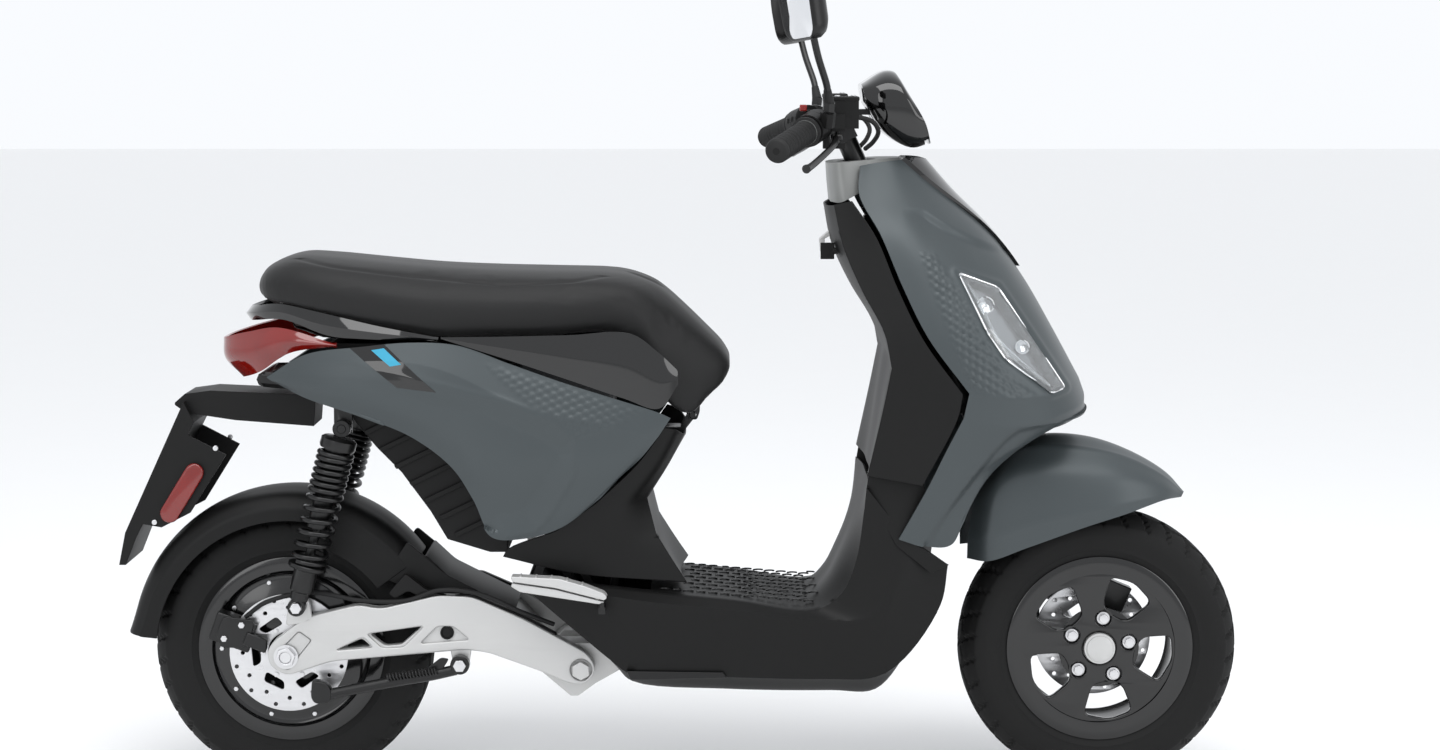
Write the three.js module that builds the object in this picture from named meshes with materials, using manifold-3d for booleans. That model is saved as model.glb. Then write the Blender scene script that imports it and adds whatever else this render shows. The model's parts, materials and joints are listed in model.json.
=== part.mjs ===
// Electric moped scooter: step-through, single seat, 10-inch wheels, hub motor in the rear wheel.
// Millimetres. A point is (s, y, z): s runs forward from the rear axle, y to the rider's left,
// z up from the ground. The finished group is shifted so that its origin is under its middle.
import * as THREE from 'three';
import { mergeVertices } from 'three/addons/utils/BufferGeometryUtils.js';
import Module from 'manifold-3d';

const wasm = await Module();
wasm.setup();

// ---------- driving dimensions ----------
const wheelbase = 1200;
const tyreRadius = 207;
const tyreWidth = 100;
const treadFlatHalf = 9;
const rimRadius = 138;
const rimHalf = 46;
const beadRadius = 125;
const discRadius = 87.5;
const discThickness = 4;
const panelWall = 3;
const gap = 0.5;
const axleRadius = 9;
const seatHalfWidth = 143;
const seatHeight = 773;
const seatTailStation = -40;
const floorHeight = 300;
const floorHalfWidth = 148;
const shieldHalfWidth = 190;
const panelHalfWidth = 174;
const handlebarHalfWidth = 345;
const handlebarHeight = 985;
const gripRadius = 17.5;
const barRadius = 11;
const mirrorHeight = 1152;
const rake = THREE.MathUtils.degToRad(25);
const trailPoint = 27.6;
const swingarmPivot = { s: 432, z: 187 };
const swingarmOuter = 100;
const swingarmThickness = 22;
const pivotBoltRadius = 9;
const shockTop = { s: 90, z: 547 };
const shockEye = { s: 20, z: 285 };
const shockOffset = 117;
const shockRodRadius = 7;
const shockTubeRadius = 15;
const springInner = 19;
const springOuter = 28;
const linkPivot = { s: 1102, z: 187 };
const linkLength = 78;
const linkEyeAngle = THREE.MathUtils.degToRad(17);
const frontShockLength = 150;
const standPivot = { s: 256, z: 198 };
const stemRadius = 15;
const headTubeRadius = 25;
const headTubeClearance = 2;
const tailReach = 253;

const rearAxle = { s: 0, z: tyreRadius };
const frontAxle = { s: wheelbase, z: tyreRadius };
const frontShift = wheelbase - 1200;
const tyreGrowth = tyreRadius - 207;
const discGrowth = discRadius - 87.5;
const lift = handlebarHeight - 985;
const stemTop = 966 + lift;

// ---------- solids ----------
function solid(geometry) {
  const bare = geometry.clone();
  bare.deleteAttribute('normal');
  bare.deleteAttribute('uv');
  const merged = mergeVertices(bare, 1e-4);
  const p = merged.attributes.position;
  const index = Array.from(merged.index.array);
  let volume = 0;
  const a = new THREE.Vector3(), b = new THREE.Vector3(), c = new THREE.Vector3();
  for (let i = 0; i < index.length; i += 3) {
    a.fromBufferAttribute(p, index[i]);
    b.fromBufferAttribute(p, index[i + 1]);
    c.fromBufferAttribute(p, index[i + 2]);
    volume += a.dot(b.cross(c));
  }
  if (volume < 0) {
    for (let i = 0; i < index.length; i += 3) [index[i], index[i + 1]] = [index[i + 1], index[i]];
  }
  const mesh = new wasm.Mesh({
    numProp: 3,
    vertProperties: new Float32Array(p.array),
    triVerts: new Uint32Array(index),
  });
  return new wasm.Manifold(mesh);
}

function geometryOf(body) {
  const mesh = body.getMesh();
  const geometry = new THREE.BufferGeometry();
  geometry.setAttribute('position', new THREE.BufferAttribute(new Float32Array(mesh.vertProperties), 3));
  geometry.setIndex(new THREE.BufferAttribute(new Uint32Array(mesh.triVerts), 1));
  const faceted = geometry.toNonIndexed();
  faceted.computeVertexNormals();
  return faceted;
}

const join = (...bodies) => bodies.reduce((whole, body) => whole.add(body));
const cut = (body, ...tools) => tools.reduce((left, tool) => left.subtract(tool), body);

// A closed profile of [radius, y] points turned about a cross-wise axis at (s, z).
function turned(profile, at, segments = 24) {
  const points = profile.map(([r, y]) => new THREE.Vector2(r, y));
  if (profile[0][0] > 0) points.push(points[0].clone());
  return solid(new THREE.LatheGeometry(points, segments).translate(at.s, 0, at.z));
}

// An outline of [s, z] points made into a plate between two y values.
function plate(outline, yLow, yHigh) {
  const shape = new THREE.Shape(outline.map(([s, z]) => new THREE.Vector2(s, z)));
  const geometry = new THREE.ExtrudeGeometry(shape, { depth: yHigh - yLow, bevelEnabled: false });
  return solid(geometry.rotateX(Math.PI / 2).translate(0, yHigh, 0));
}

// A round bar between two points.
function bar(from, to, radius, sides = 8, endRadius = radius) {
  const a = new THREE.Vector3(...from);
  const b = new THREE.Vector3(...to);
  const length = a.distanceTo(b);
  const geometry = new THREE.CylinderGeometry(endRadius, radius, length, sides);
  const turn = new THREE.Quaternion().setFromUnitVectors(
    new THREE.Vector3(0, 1, 0), b.clone().sub(a).normalize());
  geometry.applyQuaternion(turn);
  geometry.translate(...a.add(b).multiplyScalar(0.5).toArray());
  return solid(geometry);
}

// A round cross-wise bar or hole at (s, z).
const cross = (at, yLow, yHigh, radius, sides = 10) =>
  bar([at.s, yLow, at.z], [at.s, yHigh, at.z], radius, sides);

// A round tube swept along a smooth line of points.
function swept(points, radius, steps, sides = 6) {
  const line = new THREE.CatmullRomCurve3(points.map((p) => new THREE.Vector3(...p)), false,
    'centripetal');
  const ring = new THREE.Shape();
  for (let i = 0; i < sides; i++) {
    const angle = (i / sides) * 2 * Math.PI;
    const at = [radius * Math.cos(angle), radius * Math.sin(angle)];
    if (i === 0) ring.moveTo(...at);
    else ring.lineTo(...at);
  }
  ring.closePath();
  return solid(new THREE.ExtrudeGeometry(ring, { steps, extrudePath: line, bevelEnabled: false }));
}

function block(size, centre, turn = [0, 0, 0]) {
  const geometry = new THREE.BoxGeometry(...size);
  geometry.rotateX(turn[0]).rotateY(turn[1]).rotateZ(turn[2]);
  return solid(geometry.translate(...centre));
}

function meshed(vertices, faces) {
  const geometry = new THREE.BufferGeometry();
  geometry.setAttribute('position', new THREE.BufferAttribute(new Float32Array(vertices.flat()), 3));
  geometry.setIndex(faces.flat());
  return geometry;
}

// Closed rings of points joined into one solid, with flat fans over the two ends.
function loft(rings) {
  const n = rings[0].length;
  const vertices = rings.flat();
  const faces = [];
  for (let i = 0; i + 1 < rings.length; i++) {
    for (let j = 0; j < n; j++) {
      const k = (j + 1) % n;
      const [a, b, c, d] = [i * n + j, i * n + k, (i + 1) * n + k, (i + 1) * n + j];
      faces.push([a, b, c], [a, c, d]);
    }
  }
  for (const [ring, flip] of [[0, true], [rings.length - 1, false]]) {
    const middle = vertices.length;
    const sum = rings[ring].reduce((t, p) => [t[0] + p[0], t[1] + p[1], t[2] + p[2]], [0, 0, 0]);
    vertices.push(sum.map((v) => v / n));
    for (let j = 0; j < n; j++) {
      const a = ring * n + j;
      const b = ring * n + (j + 1) % n;
      faces.push(flip ? [middle, b, a] : [middle, a, b]);
    }
  }
  return solid(meshed(vertices, faces));
}

// A smooth grid through a cage of points: each span is divided, with the corners kept in place.
function refine(cage, across = 2, along = 2) {
  const divide = (line, parts) => {
    const curve = new THREE.CatmullRomCurve3(line.map((p) => new THREE.Vector3(...p)), false,
      'centripetal');
    const count = (line.length - 1) * parts;
    return Array.from({ length: count + 1 }, (_, i) => curve.getPoint(i / count).toArray());
  };
  const rows = cage.map((row) => divide(row, across));
  const columns = rows[0].map((_, j) => divide(rows.map((row) => row[j]), along));
  return columns[0].map((_, i) => columns.map((column) => column[i]));
}

// A grid of outer points given a wall. The wall goes to the inner side: from `lift` to `lift - wall`
// measured along the outward normal, which is the side that `outward` points to.
function shell(grid, { wall = panelWall, lift = 0, wrap = false, flip = false } = {}) {
  const rows = grid.length;
  const columns = grid[0].length;
  const at = (i, j) => new THREE.Vector3(...grid[i][(j + columns) % columns]);
  const vertices = [];
  for (const depth of [lift, lift - wall]) {
    for (let i = 0; i < rows; i++) {
      for (let j = 0; j < columns; j++) {
        const down = at(Math.min(i + 1, rows - 1), j).sub(at(Math.max(i - 1, 0), j));
        const [before, after] = wrap ? [j - 1, j + 1] : [Math.max(j - 1, 0),
          Math.min(j + 1, columns - 1)];
        const side = at(i, after).sub(at(i, before));
        const normal = down.cross(side).normalize().multiplyScalar(flip ? -depth : depth);
        vertices.push(at(i, j).add(normal).toArray());
      }
    }
  }
  const faces = [];
  const spans = wrap ? columns : columns - 1;
  const inner = rows * columns;
  const id = (i, j) => i * columns + (j % columns);
  for (let i = 0; i + 1 < rows; i++) {
    for (let j = 0; j < spans; j++) {
      const quad = [id(i, j), id(i, j + 1), id(i + 1, j + 1), id(i + 1, j)];
      faces.push([quad[0], quad[1], quad[2]], [quad[0], quad[2], quad[3]]);
      faces.push([quad[2] + inner, quad[1] + inner, quad[0] + inner],
        [quad[3] + inner, quad[2] + inner, quad[0] + inner]);
    }
  }
  const wallBetween = (a, b) => faces.push([a, a + inner, b + inner], [a, b + inner, b]);
  for (let j = 0; j < spans; j++) {
    wallBetween(id(0, j), id(0, j + 1));
    wallBetween(id(rows - 1, j + 1), id(rows - 1, j));
  }
  if (!wrap) {
    for (let i = 0; i + 1 < rows; i++) {
      wallBetween(id(i + 1, 0), id(i, 0));
      wallBetween(id(i, columns - 1), id(i + 1, columns - 1));
    }
  }
  return solid(meshed(vertices, faces));
}

const mirrored = (body) => body.mirror([0, 1, 0]);
const mirrorPoint = ([s, y, z]) => [s, -y, z];
// A half row that runs from the right edge to the middle line, completed to the left edge.
const fullRow = (half) => [...half, ...half.slice(0, -1).reverse().map(mirrorPoint)];

// ---------- finishes ----------
const finish = (color, roughness, metalness = 0) => ({ color, roughness, metalness });
const satinBlueGrey = finish(0x5d686c, 0.45, 0.35);
const lightGrey = finish(0x8f9699, 0.5, 0.2);
const glossBlack = finish(0x0a0a0b, 0.12);
const matteBlack = finish(0x1b1c1d, 0.7);
const rubberBlack = finish(0x141414, 0.9);
const castSilver = finish(0xb9babb, 0.45, 0.8);
const steel = finish(0x9b9c9e, 0.35, 0.9);
const blackMetal = finish(0x151516, 0.4, 0.5);
const seatBlack = finish(0x202122, 0.8);
const clearLens = finish(0xd8dde0, 0.1);
const redLens = finish(0x8c1512, 0.15);
const redPlastic = finish(0xa3211c, 0.4);
const batteryGrey = finish(0x3a3d40, 0.6);

const scooter = new THREE.Group();
function addPart(name, body, look) {
  const material = new THREE.MeshStandardMaterial(look);
  const mesh = new THREE.Mesh(geometryOf(body), material);
  mesh.name = name;
  scooter.add(mesh);
}

// ---------- wheels ----------
const R = tyreRadius;
const W = tyreWidth / 2;
const tyreProfile = [
  [beadRadius + 1, -W + 10.5], [rimRadius - 1, -W + 8.5], [rimRadius + 4, -W + 5], [164, -W], [R - 20,
    -W + 5],
  [R - 6, -W + 21], [R, -treadFlatHalf], [R, treadFlatHalf], [R - 6, W - 21], [R - 20, W - 5], [164, W],
  [rimRadius + 4, W - 5], [rimRadius - 1, W - 8.5], [beadRadius + 1, W - 10.5], [beadRadius + 6, W - 15],
  [R - 24, W - 13], [R - 11, 0], [R - 24, -W + 13], [beadRadius + 6, -W + 15],
];
addPart('rear_tyre', turned(tyreProfile, rearAxle, 28), rubberBlack);
addPart('front_tyre', turned(tyreProfile, frontAxle, 28), rubberBlack);

const rimShell = [
  [rimRadius - 20, -rimHalf], [rimRadius, -rimHalf], [rimRadius, -rimHalf + 3], [beadRadius,
    -rimHalf + 5],
  [beadRadius, rimHalf - 5], [rimRadius, rimHalf - 3], [rimRadius, rimHalf],
  [rimRadius - 20, rimHalf], [beadRadius - 8, 0],
];
const studCircle = 45;
const studAngles = Array.from({ length: 5 }, (_, i) => THREE.MathUtils.degToRad(11 + 72 * i));
const faceOuter = -40, faceInner = -29;
const polar = (at, radius, angle) => ({ s: at.s + radius * Math.cos(angle),
  z: at.z + radius * Math.sin(angle) });

function frontRim() {
  let rim = join(turned(rimShell, frontAxle, 28),
    turned([[24, faceOuter], [56, faceOuter], [56, faceInner], [24, faceInner]], frontAxle, 24));
  for (const stud of studAngles) {
    const reach = rimRadius - 17;
    const spoke = [[50, -20], [50, 22], [reach - 23, 30], [reach - 9, 42], [reach, 10], [reach - 1, -6],
      [reach - 31, -8]];
    const turnedSpoke = spoke.map(([along, side]) => {
      const [c, k] = [Math.cos(stud + 0.26), Math.sin(stud + 0.26)];
      return [frontAxle.s + along * c - side * k, frontAxle.z + along * k + side * c];
    });
    rim = join(rim, plate(turnedSpoke, faceOuter - 2, faceInner));
  }
  for (const stud of studAngles) rim = cut(rim, cross(polar(frontAxle, studCircle, stud), -60, 0, 7, 8));
  return rim;
}
addPart('front_rim', frontRim(), glossBlack);

const discInner = 30;
const frontDiscY = 38;
const flangeY = faceInner + gap;
function frontHub() {
  let hub = turned([[axleRadius + gap, -44], [23, -50], [23, flangeY], [54, flangeY], [54, flangeY + 9],
    [26, flangeY + 9],
    [26, frontDiscY - 8], [42, frontDiscY - 8], [42, frontDiscY - gap], [axleRadius + gap,
      frontDiscY - gap]],
  frontAxle, 14);
  for (const stud of studAngles) {
    const at = polar(frontAxle, studCircle, stud);
    hub = join(hub, cross(at, faceOuter - 10, flangeY + 2, 6, 8),
      cross(at, faceOuter - 9, faceOuter - 2 - gap, 9, 6));
  }
  return hub;
}
addPart('front_hub', frontHub(), castSilver);
const discRing = (y, at) => turned([[discInner, y], [discRadius, y], [discRadius, y + discThickness],
  [discInner, y + discThickness]], at, 24);
addPart('front_brake_disc', discRing(frontDiscY, frontAxle), steel);

const rearDiscY = -72;
const hubMotorWheel = turned([
  [axleRadius + 2, rearDiscY + discThickness + gap], [38, rearDiscY + discThickness + gap], [40, -50],
  [96, -42], [112, -38], [rimRadius - 20, -rimHalf], [rimRadius, -rimHalf], [rimRadius, -rimHalf + 3],
  [beadRadius, -rimHalf + 5], [beadRadius, rimHalf - 5], [rimRadius, rimHalf - 3], [rimRadius, rimHalf],
  [rimRadius - 20, rimHalf], [112, 38], [96, 42], [40, 50], [36, 62], [axleRadius + 2, 62],
], rearAxle, 28);
addPart('hub_motor_wheel', hubMotorWheel, blackMetal);
addPart('rear_brake_disc', turned([[20, rearDiscY], [discRadius, rearDiscY],
  [discRadius, rearDiscY + discThickness],
  [20, rearDiscY + discThickness]], rearAxle, 24), steel);

// ---------- rear axle, swingarm, caliper and rear fender ----------
const armInner = swingarmOuter - swingarmThickness;
const nutFace = swingarmOuter + gap;
let rearAxleBody = cross(rearAxle, -nutFace - 6, nutFace + 6, axleRadius);
for (const side of [-1, 1]) {
  const [low, high] = side < 0 ? [-nutFace - 9, -nutFace] : [nutFace, nutFace + 9];
  rearAxleBody = join(rearAxleBody, cross(rearAxle, low, high, 15, 6));
}
addPart('rear_axle', rearAxleBody, steel);

const armOutline = [[-28, 214], [-24, 193], [0, 178], [67, 200], [264, 217], [296, 213], [373, 185],
  [412, 168],
  [436, 164], [452, 182], [452, 197], [440, 213], [353, 261], [273, 296], [223, 298], [139, 278], [106,
    284],
  [38, 268], [17, 257], [-20, 228]];
const armWindows = [[[76, 217], [111, 233], [124, 221]],
  [[122, 240], [199, 251], [169, 224], [144, 222]]];
const shaftPin = { s: shockEye.s, z: shockEye.z };
const eyeBore = 8.6, eyePin = 6, eyeOuter = 13, eyeHalf = 9;
function swingarm() {
  let arm = join(plate([[280, 222], [350, 205], [368, 225], [330, 262], [282, 268]], -armInner - 1,
    armInner + 1));
  for (const side of [-1, 1]) {
    const [low, high] = side < 0 ? [-swingarmOuter, -armInner] : [armInner, swingarmOuter];
    let half = plate(armOutline, low, high);
    for (const window of armWindows) half = cut(half, plate(window, low - 1, high + 1));
    const [pinLow, pinHigh] = side < 0 ? [-shockOffset - eyeHalf - 3, -armInner] : [armInner,
      shockOffset + eyeHalf + 3];
    half = join(half, plate([[2, 255], [38, 262], [34, 292], [6, 292]], low,
      low + swingarmThickness / 2));
    half = join(half, cross(shaftPin, pinLow, pinHigh, eyePin, 12));
    half = join(half, plate([[240, 222], [272, 222], [266, 186], [246, 186]], low, high));
    arm = join(arm, half);
  }
  arm = cut(arm, cross(rearAxle, -120, 120, axleRadius + gap),
    cross(swingarmPivot, -120, 120, pivotBoltRadius + gap));
  return cut(arm, cross(standPivot, -120, 120, 8 + gap));
}
addPart('swingarm', swingarm(), castSilver);

function rearCaliper() {
  const body = join(block([62, 30, 44], [-80 - 0.92 * discGrowth, -70,
    240 + tyreGrowth + 0.38 * discGrowth], [0, 0.35, 0]),
    block([36 + discGrowth, 8, 20], [-45 - discGrowth / 2, -89, 226 + tyreGrowth], [0, 0.4, 0]));
  const slot = cross(rearAxle, rearDiscY - 1.5, rearDiscY + discThickness + 1.5, discRadius + 2, 24);
  const armRoom = plate([[-29, 160], [60, 160], [60, 300], [-29, 300]], -110, -60);
  return cut(body, slot, armRoom, turned([[60, -55], [R + 6, -55], [R + 6, 55], [60, 55]], rearAxle, 20));
}
addPart('rear_caliper', rearCaliper(), blackMetal);

const fenderGap = 12;
function rearFender() {
  const rows = [];
  for (let i = 0; i <= 12; i++) {
    const angle = THREE.MathUtils.degToRad(36 + (174 - 36) * (i / 12));
    const skirt = angle < 1.2 ? 60 : 26;
    const outer = R + fenderGap + panelWall;
    const section = [[-67, outer - skirt], [-67, outer - 8], [-52, outer + 8], [-26, outer + 14],
      [0, outer + 16]];
    const full = [...section, ...section.slice(0, -1).reverse().map(([y, r]) => [-y, r])];
    rows.push(full.map(([y, r]) => [rearAxle.s + r * Math.cos(angle), y,
      rearAxle.z + r * Math.sin(angle)]));
  }
  const cheek = [[140, 318], [176, 372], [200, 352], [235, 322], [335, 271], [331, 263], [284, 269.5],
    [236, 262], [205, 290]];
  const cover = [[203, 352], [235, 322], [335, 271], [331, 263], [284, 269.5], [230, 316], [198, 346]];
  const room = turned([[0, -63.5], [R + fenderGap, -63.5], [R + fenderGap, 63.5], [0, 63.5]], rearAxle,
    24);
  const outward = ([s, z]) => {
    const share = 1 + tyreGrowth / Math.hypot(s, z - 207);
    return [s * share, rearAxle.z + (z - 207) * share];
  };
  const sides = cheek.map(outward);
  return cut(join(shell(rows), plate(sides, -67, -64), plate(sides, 64, 67),
    plate(cover.map(outward), -67, 67)), room);
}
addPart('rear_fender', rearFender(), matteBlack);

// ---------- frame and keel casting ----------
const steerDirection = [-Math.sin(rake), 0, Math.cos(rake)];
const onSteer = (z, forward = 0, y = 0) => {
  const s = frontAxle.s - trailPoint - (z - frontAxle.z) * Math.tan(rake);
  return [s + forward * Math.cos(rake), y, z + forward * Math.sin(rake)];
};
const headBottom = 575, headTop = 858;
const railHalf = 104;
function frame() {
  let body = bar(onSteer(headBottom), onSteer(headTop), headTubeRadius, 14);
  const downTube = [[900, 0, 470], [880, 0, 330], [840, 0, 232], [760, 0, 222]]
    .map(([s, y, z]) => [s + frontShift, y, z]);
  body = join(body, swept([onSteer(640, -20), ...downTube], 20, 9, 8));
  body = join(body, bar([770 + frontShift, -70, 222], [770 + frontShift, 70, 222], 14));
  for (const side of [-1, 1]) {
    const y = side * railHalf;
    body = join(body, swept([[776 + frontShift, side * 62, 222], [600, side * 66, 222],
      [500, side * 70, 236],
      [425, side * 88, 300], [380, y, 420], [300, y + side * 6, 545], [190, y + side * 6, 598],
      [80, side * 109, 608], [-30, side * 64, 612]], 11, 20, 6));
    const lugY = side * shockOffset;
    body = join(body, block([26, 8, 66], [shockTop.s, lugY - side * (eyeHalf + 5), shockTop.z + 25]));
    body = join(body, cross(shockTop, Math.min(lugY - side * 16, lugY + side * 10),
      Math.max(lugY - side * 16, lugY + side * 10), eyePin, 12));
    body = join(body, block([10, 104, 10], [footHinge.s, side * 116, footHinge.z - 11]),
      block([10, 14, 36], [footHinge.s, side * 80, footHinge.z - 26]));
    body = join(body, bar([footHinge.s, side * footHinge.y, footHinge.z - 10],
      [footHinge.s, side * footHinge.y, footHinge.z + 10], 4.5));
  }
  body = join(body, bar([-30, -66, 612], [-30, 66, 612], 11), bar([496, -72, 238], [496, 72, 238], 14));
  body = join(body, bar([400, -102, 365], [400, 102, 365], 10),
    block([64, 44, 12], [seatHinge.s - 46, 0, seatHinge.z - 26]));
  body = join(body, bar([seatHinge.s - 74, 0, seatHinge.z - 26], [472, 0, 238], 11, 10));
  body = join(body, plate([[seatHinge.s - 26, seatHinge.z - 32], [seatHinge.s - 18, seatHinge.z - 32],
    [seatHinge.s + 4, seatHinge.z - 4], [seatHinge.s + 4, seatHinge.z + 4], [seatHinge.s - 4,
      seatHinge.z + 4]], -20, 20),
    cross(seatHinge, -40, 40, seatPinRadius, 10));
  return cut(body, bar(onSteer(headBottom - 20), onSteer(headTop + 20), stemRadius + headTubeClearance,
    14));
}
const footHinge = { s: 466, y: 165, z: 300 };
const seatHinge = { s: 596, z: 556 };
const seatPinRadius = 4.5;
addPart('frame', frame(), blackMetal);

const keelOutline = [[366, 197], [372, 178], [415, 141], [426, 141], [452, 160], [489, 181], [505, 200],
  [505, 221],
  [400, 221]];
function keelCasting() {
  const body = plate(keelOutline, -68, 68);
  const room = join(bar([496, -80, 238], [496, 80, 238], 14 + gap, 16),
    block([90, 44, 140], [425, 0, 205]));
  const bolt = cross(swingarmPivot, -swingarmOuter - 8, swingarmOuter + 8, pivotBoltRadius);
  const heads = join(cross(swingarmPivot, -swingarmOuter - 8, -swingarmOuter - gap, 14, 6),
    cross(swingarmPivot, swingarmOuter + gap, swingarmOuter + 8, 14, 6));
  return cut(join(cut(body, room), bolt, heads), block([60, 200, 12], [500, 0, 240]));
}
addPart('keel_casting', keelCasting(), castSilver);

// ---------- rear shocks ----------
const along = (from, to, distance) => {
  const a = new THREE.Vector3(from.s, 0, from.z);
  const b = new THREE.Vector3(to.s, 0, to.z);
  const point = a.clone().add(b.sub(a).normalize().multiplyScalar(distance));
  return [point.x, point.z];
};
const shockLength = Math.hypot(shockTop.s - shockEye.s, shockTop.z - shockEye.z);
function shockPart(side, from, to, radius, sides = 10, endRadius = radius) {
  const [s0, z0] = along(shockTop, shockEye, from);
  const [s1, z1] = along(shockTop, shockEye, to);
  return bar([s0, side * shockOffset, z0], [s1, side * shockOffset, z1], radius, sides, endRadius);
}
for (const [word, side] of [['right', -1], ['left', 1]]) {
  const y = side * shockOffset;
  const eye = (at, bore) => cut(cross(at, y - eyeHalf, y + eyeHalf, eyeOuter),
    cross(at, y - 20, y + 20, bore));
  let upper = join(cut(join(cross(shockTop, y - eyeHalf, y + eyeHalf, eyeOuter),
    shockPart(side, 8, 32, 26)),
    cross(shockTop, y - 40, y + 40, eyePin + gap), block([30, 10, 80],
      [shockTop.s, y - side * (eyeHalf + 5), shockTop.z + 25])),
  shockPart(side, 30, 150, shockTubeRadius));
  upper = cut(upper, shockPart(side, 60, 152, shockRodRadius + 1.5));
  addPart(`shock_${word}_body`, upper, blackMetal);
  addPart(`shock_${word}_spring`, cut(shockPart(side, 32 + gap, 206 - gap, springOuter, 12),
    shockPart(side, 30, 210, springInner, 12)), blackMetal);
  addPart(`shock_${word}_rod`, join(cut(join(shockPart(side, 206, 212, springOuter),
    shockPart(side, 210, shockLength - 8, 17),
    cross(shockEye, y - eyeHalf, y + eyeHalf, eyeOuter)), cross(shockEye, y - 20, y + 20, eyeBore)),
  shockPart(side, 125, 208, shockRodRadius)), blackMetal);
}

// ---------- centre stand ----------
function centreStand() {
  let stand = cross(standPivot, -113, 113, 7.5);
  for (const side of [-1, 1]) {
    const y = side * 110;
    stand = join(stand, cross(standPivot, Math.min(y - 8, y + 8), Math.max(y - 8, y + 8), 14),
      swept([[250, y, 190], [180, y, 176], [100, y, 161], [60, y, 153]], 8, 6, 6),
      block([24, 20, 34], [52, y, 158], [0, 0.12, 0]));
  }
  return stand;
}
addPart('centre_stand', centreStand(), blackMetal);

// ---------- front shield, its trim and the signal lenses ----------
const shieldCage = [
  [[838, -80, 924], [862, -72, 928], [888, -62, 931], [908, -46, 932], [925, -26, 931], [936, 0, 928]],
  [[836, -104, 884], [868, -100, 884], [903, -88, 886], [935, -66, 888], [960, -36, 888], [973, 0, 886]],
  [[866, -140, 826], [900, -138, 824], [940, -128, 822], [985, -100, 824], [1018, -58, 826],
    [1033, 0, 826]],
  [[896, -166, 754], [932, -165, 752], [978, -155, 748], [1030, -124, 752], [1068, -72, 756],
    [1084, 0, 757]],
  [[931, -184, 684], [965, -184, 680], [1012, -174, 676], [1072, -140, 678], [1112, -84, 682],
    [1128, 0, 681]],
  [[989, -190, 606], [1020, -189, 602], [1060, -178, 598], [1112, -148, 600], [1150, -92, 604],
    [1167, 0, 610]],
  [[982, -184, 570], [1015, -182, 560], [1060, -172, 556], [1122, -142, 556], [1165, -88, 560],
    [1183, 0, 566]],
  [[958, -174, 520], [995, -170, 512], [1040, -158, 515], [1092, -136, 532], [1134, -88, 545],
    [1168, 0, 546]],
  [[934, -165, 468], [965, -160, 452], [1005, -147, 470], [1055, -129, 503], [1110, -92, 535],
    [1143, 0, 532]],
  [[893, -152, 390], [935, -146, 377], [974, -136, 379], [1012, -124, 458], [1078, -100, 520],
    [1126, 0, 529]],
].map((row) => row.map(([s, y, z]) => [s + frontShift, y * (shieldHalfWidth / 190), z]));
const shieldGrid = refine(shieldCage.map(fullRow), 1, 1);
const shieldWide = { wall: panelWall, flip: true };
const shieldShell = shell(shieldGrid, shieldWide);
const signalOutline = [[976, 774], [1034, 752], [1133, 607], [1110, 602], [1041, 654], [1016, 690]]
  .map(([s, z]) => [s + frontShift, z]);
// The outline moved out from its own middle by a clearance.
function grown(outline, by) {
  const middle = outline.reduce((t, [s, z]) => [t[0] + s / outline.length, t[1] + z / outline.length],
    [0, 0]);
  return outline.map(([s, z]) => {
    const away = Math.hypot(s - middle[0], z - middle[1]);
    return [s + (s - middle[0]) / away * by, z + (z - middle[1]) / away * by];
  });
}
const trimOutline = [[56, 960], [52, 905], [34, 840], [0, 770], [-34, 840], [-52, 905], [-56, 960]];
function trimPrism(by) {
  const outline = grown(trimOutline, by);
  const shape = new THREE.Shape(outline.map(([y, z]) => new THREE.Vector2(y, z)));
  const geometry = new THREE.ExtrudeGeometry(shape, { depth: 260, bevelEnabled: false });
  return solid(geometry.rotateX(Math.PI / 2).rotateZ(Math.PI / 2).translate(850 + frontShift, 0, 0));
}
const shieldThick = shell(shieldGrid, { ...shieldWide, lift: 0.5, wall: panelWall + 1 });
addPart('shield_top_trim', shieldThick.intersect(trimPrism(0)), glossBlack);
addPart('front_shield', cut(shieldShell, trimPrism(1.2), plate(grown(signalOutline, 1.2), -300, 300)),
  satinBlueGrey);
for (const [word, low, high] of [['right', -300, -40], ['left', 40, 300]]) {
  addPart(`signal_lens_${word}`, shieldThick.intersect(plate(signalOutline, low, high)), clearLens);
}

// ---------- leg shield, steering cover and floor ----------
const legCage = [
  [[826, -106, 874], [802, -98, 868], [794, -60, 866], [792, 0, 866]],
  [[860, -136, 822], [814, -126, 812], [806, -70, 810], [803, 0, 810]],
  [[889, -159, 752], [840, -149, 751], [832, -75, 751], [830, 0, 751]],
  [[924, -178, 682], [872, -167, 690], [864, -80, 700], [861, 0, 700]],
  [[981, -182, 604], [882, -171, 640], [884, -80, 650], [882, 0, 650]],
  [[974, -176, 568], [870, -169, 580], [873, -80, 580], [871, 0, 580]],
  [[926, -160, 470], [849, -160, 484], [857, -80, 482], [857, 0, 482]],
].map((row) => row.map(([s, y, z]) => [s + frontShift, y * (shieldHalfWidth / 190), z]));
const legGrid = refine(legCage.map(fullRow), 1, 1);
const legShell = shell(legGrid, { flip: true });
const hookHinge = { s: 804 + frontShift, z: 822 };
const keyAt = { s: 812 + frontShift, y: -64, z: 800 };
const legShield = join(legShell, block([22, 14, 20], [keyAt.s + 6, keyAt.y, keyAt.z]));
addPart('leg_shield', cut(legShield, bar([keyAt.s - 40, keyAt.y, keyAt.z],
  [keyAt.s + 8, keyAt.y, keyAt.z], 5.5),
  block([16, 22, 22], [hookHinge.s - 1, 0, hookHinge.z])), matteBlack);
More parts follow.
